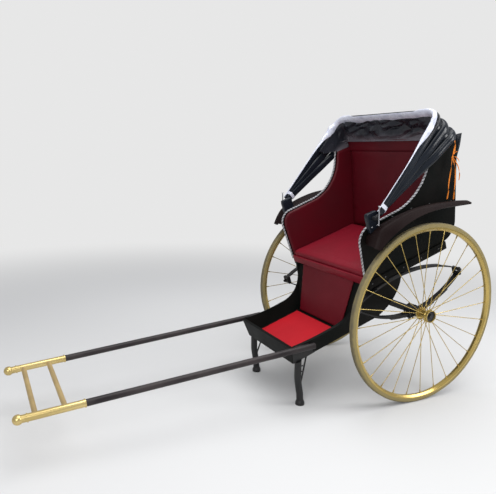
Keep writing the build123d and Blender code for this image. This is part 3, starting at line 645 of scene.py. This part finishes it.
def smoothed(bm, times):
    """Soften a mesh's corners and wrinkles, the more the more times."""
    for _ in range(times):
        bmesh.ops.smooth_vert(
            bm, verts=bm.verts, factor=0.5, use_axis_x=True, use_axis_y=True, use_axis_z=True
        )
    bm.normal_update()


def upholstered(name, node, material, grain, slack):
    """A stuffed copy of a frame piece, rounded at a grain and drawn in by the slack."""
    bm = bmesh.new()
    bm.from_mesh(nodes[node].data)
    bmesh.ops.remove_doubles(bm, verts=bm.verts, dist=1e-5)
    piece = finished_piece(name, bm, material, None)
    remesh = piece.modifiers.new("remesh", "REMESH")
    remesh.mode = "VOXEL"
    remesh.voxel_size = grain
    baked(piece)
    bm = bmesh.new()
    bm.from_mesh(piece.data)
    smoothed(bm, 2)
    for vert in bm.verts:
        vert.co -= vert.normal * slack
    bm.to_mesh(piece.data)
    bm.free()
    piece.data.shade_smooth()
    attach(piece, "cab")
    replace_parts(piece, node)
    return piece


def blown_up(pieces, swell):
    """Swell stuffed pieces together under pressure, each point by no more than the swell."""
    cuts = [[vert.co.copy() for vert in piece.data.vertices] for piece in pieces]
    for piece in pieces:
        cloth = piece.modifiers.new("cloth", "CLOTH").settings
        cloth.use_pressure = True
        cloth.uniform_pressure_force = 4.0
        cloth.effector_weights.gravity = 0.0
    for step in range(1, 21):
        scene.frame_set(step)
    for piece, cut in zip(pieces, cuts):
        baked(piece)
        for vert, home in zip(piece.data.vertices, cut):
            moved = vert.co - home
            if moved.length > swell:
                vert.co = home + moved * (swell / moved.length)
    scene.frame_set(1)
    for piece in pieces:
        finer = piece.modifiers.new("finer", "SUBSURF")
        finer.levels = finer.render_levels = 1
        piece.data.shade_smooth()


# The cushions swell in the simulation. The thinner pads are only rounded, the side pads drawn
# out a little and the mat widened to the footwell's boards.
cushion_grain, cushion_slack, cushion_swell = 0.008, 0.003, 0.008
pad_grain, side_pad_slack, mat_widening = 0.005, -0.0045, 1.045
seat = upholstered("seat_upholstery", "seat_cushion", red_vinyl, cushion_grain, cushion_slack)
back = upholstered("back_upholstery", "back_cushion", shaded_red_vinyl, cushion_grain, cushion_slack)
blown_up((seat, back), cushion_swell)
for side_name, _ in both_sides:
    pad = f"side_upholstery_{side_name}"
    upholstered(pad, f"side_pad_{side_name}", shaded_red_vinyl, pad_grain, side_pad_slack)
upholstered("calf_upholstery", "calf_pad", calf_shaded_vinyl, pad_grain, 0.0)
mat = upholstered("mat_upholstery", "foot_mat", mat_vinyl, pad_grain, 0.0)
for vert in mat.data.vertices:
    vert.co.y *= mat_widening

# Seat lip: the seat's leathercloth is carried over the front edge of the seat board on a
# thin padding, and tacked below, where its hem sags between the tacks.
lip_low, lip_high, lip_rear, lip_front = 0.737, 0.779, 0.0755, 0.0865
lip_half, lip_rounding = seat_half_width - 0.014, 0.0040


def noise_at(x, y, z):
    """Smooth noise, between about -1 and 1, that changes over a distance of 1."""
    return noise.noise(Vector((x, y, z)))


bm = bmesh.new()
add_block(bm, (lip_rear, -lip_half, lip_low), (lip_front, lip_half, lip_high))
bmesh.ops.subdivide_edges(
    bm, edges=[edge for edge in bm.edges if abs(edge.verts[0].co.y - edge.verts[1].co.y) > 0.1],
    cuts=60, use_grid_fill=True,
)
soft_edges(bm, lip_rounding, 3)
for vert in bm.verts:
    slack = noise_at(vert.co.y * 7.0, 4.7, 0.0)
    if vert.co.z < 0.75:
        vert.co.z += 0.004 * slack - 0.002
    vert.co.x += 0.0012 * noise_at(vert.co.y * 16.0, vert.co.z * 30.0, 2.2)
bmesh.ops.transform(bm, matrix=on_cab, verts=bm.verts)
lip = finished_piece("seat_lip", bm, red_vinyl, "cab")

# Piping: three cotton strands, two pale and one dark, laid up into a cord that is tacked
# along the edge of each side board from the seat to the top of the back.
cord_cotton = painted(
    "cord_cotton", (0.50, 0.50, 0.52), (0.36, 0.36, 0.37), (0.12, 0.12, 0.12), (0.7, 0.9),
    cloud=20.0, shine=0.2,
)
cord_dark = painted(
    "cord_dark", (0.16, 0.16, 0.175), (0.10, 0.10, 0.11), (0.1, 0.1, 0.1), (0.7, 0.9), cloud=20.0, shine=0.2
)
board_thickness = 0.012
piping_lift, piping_step = 0.0053, 0.0035
strand_radius, strand_ring, strand_pitch = 0.0031, 0.0029, 0.020
# The board's edge: its corners along and up the board, and the radii between them.
arm_corners = ((0.078, 0.0), (0.078, 0.288), (-0.357, 0.306), (-0.450, 0.529))
arm_radii = (0.075, 0.285)


def rounded_line(corners, radii, lift, step):
    """Evenly spaced places along a line with rounded corners, moved out by the lift, each
    with the way the line goes there."""
    points = [Vector(corner) for corner in corners]
    ways = [(b - a).normalized() for a, b in zip(points, points[1:])]
    runs, start = [], points[0]
    for corner, radius, way, turned_way in zip(points[1:], radii, ways, ways[1:]):
        turn = way.angle_signed(turned_way)
        setback = radius * tan(abs(turn) / 2)
        runs.append((start, way, (corner - way * setback - start).length, 0.0, 1.0))
        bend = -1.0 if turn > 0 else 1.0
        runs.append((corner - way * setback, way, radius * abs(turn), bend, radius))
        start = corner + turned_way * setback
    runs.append((start, ways[-1], (points[-1] - start).length, 0.0, 1.0))
    line = []
    for start, way, length, bend, radius in runs:
        count = max(2, round(length / step))
        for i in range(count):
            gone = length * i / count
            place, ahead = start + way * gone, way
            if bend:
                middle = start + Vector((-way.y, way.x)) * bend * radius
                ahead = Matrix.Rotation(bend * gone / radius, 2) @ way
                place = middle - Vector((-ahead.y, ahead.x)) * bend * radius
            line.append((place + Vector((ahead.y, -ahead.x)) * lift, ahead))
    line.append((points[-1] + Vector((ways[-1].y, -ways[-1].x)) * lift, ways[-1]))
    return line


def swept(stations, sides, ripple=None):
    """Carry a ring through the stations, each a matrix, and close both ends. A ripple gives
    the ring's reach at a turn and a station."""
    bm = bmesh.new()
    ring = bmesh.ops.create_circle(bm, segments=sides, radius=1.0, cap_ends=True)["verts"]
    turns = [(vert, atan2(vert.co.y, vert.co.x)) for vert in ring]
    edges = bm.edges[:]
    for index, place in enumerate(stations):
        if index:
            made = bmesh.ops.extrude_edge_only(bm, edges=edges)["geom"]
            fresh = {part for part in made if isinstance(part, bmesh.types.BMVert)}
            edges = [
                part for part in made
                if isinstance(part, bmesh.types.BMEdge) and part.verts[0] in fresh and part.verts[1] in fresh
            ]
            follow = {}
            for part in fresh:
                for spoke in part.link_edges:
                    other = spoke.other_vert(part)
                    if other not in fresh:
                        follow[other] = part
            turns = [(follow[vert], turn) for vert, turn in turns]
        for vert, turn in turns:
            reach = ripple(turn, index) if ripple else 1.0
            vert.co = place @ Vector((reach * cos(turn), reach * sin(turn), 0.0))
    bmesh.ops.edgeloop_fill(bm, edges=edges)
    bmesh.ops.recalc_face_normals(bm, faces=bm.faces)
    return bm


piping_line = rounded_line(arm_corners, arm_radii, piping_lift, piping_step)
for side_name, side in both_sides:
    route, gone = [], 0.0
    for (along, up), way in piping_line:
        deep = board_thickness / 2
        out = seat_half_width + up * sin(seat_lean) - deep * cos(seat_lean)
        spot = Vector((along, side * out, seat_top + up * cos(seat_lean) + deep * sin(seat_lean)))
        gone += (spot - route[-1][0]).length if route else 0.0
        run = Vector((way.x, side * way.y * sin(seat_lean), way.y * cos(seat_lean)))
        route.append((spot, run.normalized(), gone))
    for number, material in enumerate((cord_cotton, cord_cotton, cord_dark)):
        stations = []
        for spot, run, gone in route:
            flat = Vector((0.0, cos(seat_lean), -side * sin(seat_lean)))
            across = run.cross(flat).normalized()
            flat = across.cross(run)
            turn = 2 * pi * (gone / strand_pitch + number / 3)
            middle = spot + (flat * cos(turn) + across * sin(turn)) * strand_ring
            place = Matrix((flat * strand_radius, across * strand_radius, run)).transposed().to_4x4()
            stations.append(on_cab @ Matrix.Translation(middle) @ place)
        strand = f"piping_strand_{side_name}_{number + 1}"
        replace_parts(finished_piece(strand, swept(stations, 8), material, "cab"), f"piping_{side_name}")

# Folding hood: black leathercloth over three steel bows that turn on one pin at each arm.
# Folded back, the cloth lies gathered round each bow in a fat roll with long pleats.
# Its black is tinted blue, a painted reflection of the sky.
hood_vinyl = painted(
    "hood_vinyl", (0.0065, 0.0085, 0.0130), (0.0100, 0.0130, 0.0190), (0.03, 0.03, 0.035), (0.14, 0.27),
    cloud=7.0, spot=26.0, share=0.0, shine=0.22, relief=0.5,
)
silver_cloth = painted(
    "silver_cloth", (0.74, 0.76, 0.85), (0.50, 0.52, 0.62), (0.16, 0.16, 0.19), (0.24, 0.42),
    cloud=26.0, spot=55.0, share=0.22, metallic=0.15, relief=0.8,
)
bow_steel = painted(
    "bow_steel", (0.020, 0.020, 0.022), (0.034, 0.034, 0.036), (0.10, 0.07, 0.05), (0.3, 0.5), metallic=0.5
)
hood_pin = Vector((0.0, 0.0, 1.095))
arm_y, bow_corner = 0.435, 0.090
# The rolls lie this far beside each other at the pin, are set in by this at the bar, and
# start this far up the bow.
rank_gap, bar_inset, roll_start = 0.009, 0.006, 0.030
# Each bow: its name, length, angle above level towards the rear, and place on the pin.
bows = (
    ("front", 0.662, 33.8, 1),
    ("middle", 0.673, 27.3, 0),
    ("rear", 0.690, 20.8, -1),
)


def bow_plane(angle):
    """The plane of a bow: x ahead of it, y to the left and z up along its arms."""
    return on_cab @ Matrix.Translation(hood_pin) @ Matrix.Rotation(radians(angle - 90), 4, "Y")


def bow_line(length, start, step, inset=0.0):
    """Places along half a turn of a bow, from its left foot round the top to its right foot:
    each the distance gone, the across and up of the place, and those of the way ahead."""
    half, top, corner = arm_y - inset, length - inset, bow_corner - inset
    arm, arc, bar = top - corner - start, corner * pi / 2, 2 * (half - corner)
    whole = 2 * arm + 2 * arc + bar
    count = round(whole / step)
    line = []
    for i in range(count + 1):
        gone = whole * i / count
        # The right half mirrors the left one.
        mirror = 1 if 2 * gone <= whole else -1
        run = gone if mirror > 0 else whole - gone
        if run < arm:
            place, way = (half, start + run), (0.0, 1.0)
        elif run < arm + arc:
            turn = (run - arm) / corner
            place = (half - corner + corner * cos(turn), top - corner + corner * sin(turn))
            way = (-sin(turn), cos(turn))
        else:
            place, way = (half - corner - (run - arm - arc), top), (-1.0, 0.0)
        line.append((gone, (mirror * place[0], place[1]), (way[0], mirror * way[1])))
    return line


def roll_size(up):
    """Half the depth and half the width of a roll at a height up its bow."""
    return 0.0200 + 0.0075 * ease(up, 0.20, 0.60), 0.0042 + 0.0100 * ease(up, 0.26, 0.50)


def roll_line(length, rank, step):
    """The middle of a roll: the bow's line, set in at its bar and beside its neighbours by the
    pin. Each place has the distance gone, the place itself and the way ahead."""
    line = []
    for gone, (across, up), (way_y, way_z) in bow_line(length, roll_start, step):
        shift = rank * rank_gap * (1 - ease(up, 0.30, 0.50))
        inset = bar_inset * ease(up, 0.42, 0.60)
        across += (shift if across > 0 else -shift) - inset * way_z
        line.append((gone, (across, up + inset * way_y), (way_y, way_z)))
    return line


def on_roll(station, wide=1.0):
    """The matrix that lays a unit ring round a roll at one of its places."""
    _, (across, up), (way_y, way_z) = station
    depth, width = roll_size(up)
    return Matrix((
        (depth * wide, 0.0, 0.0, 0.0),
        (0.0, width * wide * way_z, way_y, across),
        (0.0, -width * wide * way_y, way_z, up),
        (0.0, 0.0, 0.0, 1.0),
    ))


for name, length, angle, rank in bows:
    finish_nodes(bow_steel, (f"hood_bow_{name}",))
    plane = bow_plane(angle)
    line = roll_line(length, rank, 0.010)
    stations = [plane @ on_roll(station) for station in line]

    def pleats(turn, index):
        """Long pleats that run with the roll and wander slowly round it."""
        gone = line[index][0]
        fade = ease(line[index][1][1], 0.05, 0.3)
        around = Vector((1.3 * cos(turn), 1.3 * sin(turn), gone * 1.3 + rank * 7.3))
        fine = Vector((3.1 * cos(turn), 3.1 * sin(turn), gone * 3.2 - rank * 3.1))
        return 0.95 + (0.04 + 0.10 * fade) * noise.noise(around) + 0.08 * fade * noise.noise(fine)

    bm = swept(stations, 48, pleats)
    roll = finished_piece(f"hood_roll_{name}", bm, hood_vinyl, f"bow_{name}")
    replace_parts(roll, f"hood_fold_{name}")

    # A strip of bright cloth binds each end of the roll.
    bands = bmesh.new()
    for ends in (line[3:6], line[-6:-3]):
        bm = swept([plane @ on_roll(station, 1.07) for station in ends], 48)
        loop = bpy.data.meshes.new("band")
        bm.to_mesh(loop)
        bm.free()
        bands.from_mesh(loop)
        bpy.data.meshes.remove(loop)
    finished_piece(f"hood_band_{name}", bands, silver_cloth, f"bow_{name}", 40)

# Facing: a strip of bright silver cloth is sewn along the inner edge of the front roll, narrow
# up the arms, wide and crumpled round the corners, and even along the bar.
front_line = roll_line(bows[0][1], 1, 0.006)
front_plane = bow_plane(bows[0][2])
whole = front_line[-1][0]


def on_facing(along, around):
    """A point of the facing, from the left foot round to the right, and from its front edge."""
    index, rest = between(front_line, along)
    place = on_roll(front_line[index]).lerp(on_roll(front_line[index + 1]), rest)
    from_bar = abs(along - 0.5) * whole
    corner = ease(from_bar, 0.24, 0.37) * (1 - ease(from_bar, 0.50, 0.66))
    arm = ease(from_bar, 0.42, 0.60)
    # The degrees round the roll of its two edges, on the bar, up the arms and at the corners.
    first = 30 * (1 - arm) - 32 * arm - (80 - 15 * arm) * corner
    last = 128 * (1 - arm) + 42 * arm + 30 * corner
    turn = -radians(first + (last - first) * around)
    crumple = noise_at(along * 46.0, around * 2.4, 1.4)
    crease = abs(noise_at(along * 85.0, around * 3.5, 6.1)) - 0.25
    below = (1 - arm) * (1 - corner) * 0.35
    wide = 1.07 + below + 0.03 * crumple + corner * (0.10 + 0.20 * crumple + 0.20 * crease)
    return front_plane @ place @ Vector((wide * cos(turn), wide * sin(turn), 0.0))


facing = grid_sheet("hood_facing", silver_cloth, 330, 14, on_facing, 0.0008, "bow_front")

# Roof cloth: the black leathercloth hangs slack between the rolls. Each strip is sewn to two bows.
web_start, web_sag = 0.50, 0.012


def follow_bow(piece):
    """Bake a piece's placing into its mesh."""
    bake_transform(piece)


def on_line(line, share):
    """The place at a share of the way along a line, and the way out from it."""
    index, rest = between(line, share)
    near, far = line[index], line[index + 1]
    place = [near[1][k] * (1 - rest) + far[1][k] * rest for k in (0, 1)]
    way = [near[2][k] * (1 - rest) + far[2][k] * rest for k in (0, 1)]
    return place, (way[1], -way[0])


# Each strip: its front bow, the next one, and the depth of its change.
for bow, next_bow, depth in ((bows[0], bows[1], 0.173), (bows[1], bows[2], 0.130)):
    (name, length, angle, _), (_, next_length, next_angle, _) = bow, next_bow
    near_line = bow_line(length, web_start, 0.012)
    far_line = bow_line(next_length, web_start, 0.012)
    near_plane, far_plane = bow_plane(angle), bow_plane(next_angle)

    def slack_cloth(along, across):
        """A point of the strip, sagging inward between its two bows."""
        (y, z), (out_y, out_z) = on_line(near_line, along)
        sag = web_sag * sin(pi * across) * (1 + 0.5 * noise_at(along * 19, across * 2, length * 40))
        near = near_plane @ Vector((0.0, y - sag * out_y, z - sag * out_z))
        (y, z), (out_y, out_z) = on_line(far_line, along)
        far = far_plane @ Vector((0.0, y - sag * out_y, z - sag * out_z))
        return near.lerp(far, across)

    web = grid_sheet(f"roof_cloth_{name}", hood_vinyl, 170, 8, slack_cloth)
    follow_bow(web)

# Back flap: the back's red leathercloth carries on above the cushion, tacked to the back
# board, up to the edge of the lining.
flap_low, flap_top, flap_half = 1.254, 1.322, 0.399


def up_flap(across, up):
    """A point of the flap, from the left to the right and from the cushion's top up."""
    bulge = 0.004 * noise_at(across * 6.0, up * 2.0, 5.5)
    out = -0.5475 + 0.0045 * (1 - ease(up, 0.0, 0.6)) - 0.010 * up + bulge * up
    return on_cab @ Vector((out, flap_half * (1 - 2 * across), flap_low + (flap_top - flap_low) * up))


flap = grid_sheet("back_flap", shaded_red_vinyl, 60, 6, up_flap, 0.002, "cab")

# Lining: a thin black film hangs crumpled from the front bow down to that flap, grown grey
# and cloudy towards its lower edge.
lining_black = painted(
    "lining_black", (0.012, 0.013, 0.018), (0.020, 0.021, 0.028), (0.2, 0.2, 0.24), (0.16, 0.32),
    cloud=11.0, spot=40.0, share=0.1, shine=0.35, relief=0.6,
)
faded_grey = (0.110, 0.100, 0.115, 1)
tree = lining_black.node_tree
place = add_node(tree, "ShaderNodeTexCoord")
parts = add_node(tree, "ShaderNodeSeparateXYZ", {"Vector": place.outputs["UV"]})
drift = add_node(tree, "ShaderNodeTexNoise", {"Vector": place.outputs["Object"], "Scale": 7.0})
pushed = add_node(tree, "ShaderNodeMath", {
    0: drift, 1: 0.5, 2: parts.outputs["Y"],
}, operation="MULTIPLY_ADD")
lower = add_node(tree, "ShaderNodeMapRange", {
    "Value": pushed, "From Min": 0.80, "From Max": 1.12,
}, interpolation_type="SMOOTHSTEP")
faded = add_node(tree, "ShaderNodeMix", {
    "Factor": lower, "A": tree.nodes["wear"], "B": faded_grey,
}, data_type="RGBA")
feed(tree, tree.nodes["Principled BSDF"], {"Base Color": faded})
lining_line = bow_line(bows[0][1], 0.40, 0.012, inset=0.020)
lining_half, lining_corner, lining_lap = 0.398, 0.2, 0.1


def crumpled_lining(along, down):
    """A point of the lining, from the front bow down to the top edge of the flap."""
    (y, z), _ = on_line(lining_line, along)
    high = front_plane @ Vector((0.004, y, z))
    reach = min(along, 1 - along) / lining_corner
    side = 1 if along < 0.5 else -1
    if reach < 1:
        low = Vector((-0.455 - 0.100 * reach, side * lining_half, 1.284 + 0.038 * ease(reach, 0.80, 1.0)))
    else:
        across = (along - lining_corner) / (1 - 2 * lining_corner)
        low = Vector((-0.556, lining_half * (1 - 2 * across), flap_top + 0.001))
    lap = max(0.0, down - 1 + lining_lap) / lining_lap
    low = on_cab @ (low + Vector((0.007 * lap, 0.0, -0.008 * lap)))
    share = min(1.0, down / (1 - lining_lap))
    spot = high.lerp(low, share)
    slack = sin(pi * share) ** 0.8 if share < 1 else 0.0
    fold = noise_at(along * 6.5 + down * 1.6, down * 1.6, 3.1)
    crease = abs(noise_at(along * 15.0 - down * 2.5, down * 3.2, 8.4)) - 0.22
    spot += Vector((0.80, 0.0, -0.45)) * slack * (0.036 * fold + 0.034 * crease)
    spot.z -= 0.020 * slack * abs(noise_at(along * 10.0, 0.3, 1.7))
    return spot


lining = grid_sheet("hood_lining", lining_black, 190, 36, crumpled_lining)
follow_bow(lining)

# Curtain: behind the rear bow the roof cloth hangs down and is nailed across the back board,
# with a loose pointed corner at each side.
curtain_half, curtain_top, curtain_foot = 0.405, 1.312, 1.205
corner_point = 0.034


def down_curtain(across, down):
    """A point of the curtain, from the left to the right and from the bow's bar down."""
    side = 1 - 2 * across
    edge = ease(abs(side), 0.90, 1.0)
    high = Vector((-0.646, curtain_half * side, curtain_top))
    low = Vector((-0.604 - 0.010 * edge, curtain_half * side, curtain_foot - 0.020 * edge))
    spot = high.lerp(low, down)
    billow = sin(pi * down) * (0.010 + 0.012 * noise_at(across * 9.0, down * 1.5, 2.6))
    flute = 0.007 * (0.3 + down) * noise_at(across * 26.0, down, 9.3)
    return on_cab @ (spot + Vector((-billow - flute - corner_point * edge * (1 - down) ** 2, 0.0, 0.0)))


curtain = grid_sheet("hood_curtain", hood_vinyl, 120, 16, down_curtain)
follow_bow(curtain)

# Hinge wraps: scraps of the black leathercloth bound round each hinge plate and nailed with
# bright domed studs. A thin pale stay stands on the mudguard beside each.
stud_steel = painted(
    "stud_steel", (0.55, 0.55, 0.57), (0.4, 0.4, 0.42), (0.2, 0.15, 0.1), (0.2, 0.35), metallic=0.9
)
wrap_inner, wrap_outer, wrap_wrinkle = 0.390, 0.4165, 0.0032
stud_places, stud_size = ((-0.020, 1.048), (0.016, 1.050), (-0.018, 1.092)), 0.0052
stay_y, stay_radius = 0.457, 0.0034
for side_name, side in both_sides:
    bm = bmesh.new()
    inner, outer = sorted((side * wrap_inner, side * wrap_outer))
    add_block(bm, (-0.038, inner, 1.018), (0.034, outer, 1.124))
    bmesh.ops.subdivide_edges(bm, edges=bm.edges[:], cuts=11, use_grid_fill=True)
    smoothed(bm, 6)
    for vert in bm.verts:
        fold = noise_at(vert.co.x * 26.0, vert.co.y * 14.0, vert.co.z * 60.0 + vert.co.x * 30.0)
        vert.co += vert.normal * wrap_wrinkle * fold
        vert.co.y = min(max(vert.co.y, inner), outer)
    bmesh.ops.transform(bm, matrix=on_cab, verts=bm.verts)
    wrap = finished_piece(f"hinge_wrap_{side_name}", bm, hood_vinyl, "cab")
    bm = bmesh.new()
    for along, up in stud_places:
        dome = bmesh.ops.create_uvsphere(bm, u_segments=16, v_segments=8, radius=stud_size)["verts"]
        bmesh.ops.scale(bm, vec=(1, 0.55, 1), verts=dome)
        spot = Vector((along, side * (wrap_outer - 0.001), up))
        bmesh.ops.translate(bm, vec=on_cab @ spot, verts=dome)
    finished_piece(f"hinge_studs_{side_name}", bm, stud_steel, "cab")
    bm = bmesh.new()
    foot, tip = (on_cab @ Vector((u, side * stay_y, w)) for u, w in ((0.006, 1.062), (-0.020, 1.152)))
    add_rod(bm, foot, tip, stay_radius, stay_radius, 12)
    add_rod(bm, tip, tip + (tip - foot).normalized() * 0.004, 0.0060, 0.0050, 16)
    finished_piece(f"hinge_stay_{side_name}", bm, stud_steel, "cab", 40)

# Tie: an orange cotton tape knotted round the rear corner of the hood to hold it folded, its
# tails hanging loose beside the back board.
orange_tape = painted(
    "orange_tape", (0.80, 0.235, 0.020), (0.66, 0.190, 0.018), (0.5, 0.2, 0.05), (0.6, 0.8),
    cloud=30.0, spot=300.0, share=0.0, shine=0.3,
)
# Each run of tape: its width, and the places it passes, each along, across and up the cab.
tape_runs = (
    (0.007, ((-0.598, 0.428, 1.306), (-0.588, 0.436, 1.278), (-0.574, 0.434, 1.246), (-0.564, 0.430, 1.220))),
    (0.007, ((-0.606, 0.416, 1.302), (-0.600, 0.424, 1.272), (-0.584, 0.430, 1.242), (-0.564, 0.430, 1.220))),
    (0.005, ((-0.564, 0.430, 1.220), (-0.576, 0.436, 1.216), (-0.590, 0.438, 1.204), (-0.600, 0.437, 1.184))),
    (0.005, ((-0.564, 0.430, 1.220), (-0.572, 0.435, 1.232), (-0.584, 0.437, 1.240), (-0.596, 0.436, 1.238))),
    (0.005, ((-0.564, 0.430, 1.220), (-0.572, 0.434, 1.200), (-0.588, 0.436, 1.160), (-0.592, 0.435, 1.120),
             (-0.584, 0.432, 1.085))),
    (0.007, ((-0.563, 0.430, 1.218), (-0.541, 0.430, 1.160), (-0.516, 0.428, 1.095), (-0.505, 0.426, 1.050),
             (-0.490, 0.424, 1.012))),
    (0.007, ((-0.565, 0.430, 1.218), (-0.566, 0.434, 1.150), (-0.556, 0.432, 1.085), (-0.540, 0.429, 1.030),
             (-0.531, 0.427, 0.996))),
)
tape_thickness, knot_place, knot_radius = 0.0009, (-0.564, 0.430, 1.219), 0.0055
bm = bmesh.new()
for width, places in tape_runs:
    count = 10 * (len(places) - 1)
    left, right = [], []
    for i in range(count + 1):
        spot = Vector(flowing(places, i / count))
        lean = Vector((cos(i * 0.16), 0.5 * sin(i * 0.13), 0.25 * sin(i * 0.1))).normalized() * width / 2
        left.append(bm.verts.new(on_cab @ (spot - lean)))
        right.append(bm.verts.new(on_cab @ (spot + lean)))
    rails = [bm.edges.new(pair) for rail in (left, right) for pair in zip(rail, rail[1:])]
    bmesh.ops.bridge_loops(bm, edges=rails)
bmesh.ops.solidify(bm, geom=bm.faces[:], thickness=tape_thickness)
knot = bmesh.ops.create_uvsphere(bm, u_segments=16, v_segments=10, radius=knot_radius)["verts"]
for vert in knot:
    vert.co *= 1 + 0.25 * noise.noise(vert.co * 190)
bmesh.ops.translate(bm, vec=on_cab @ Vector(knot_place), verts=knot)
bmesh.ops.recalc_face_normals(bm, faces=bm.faces)
finished_piece("tie_tape", bm, orange_tape, "cab")
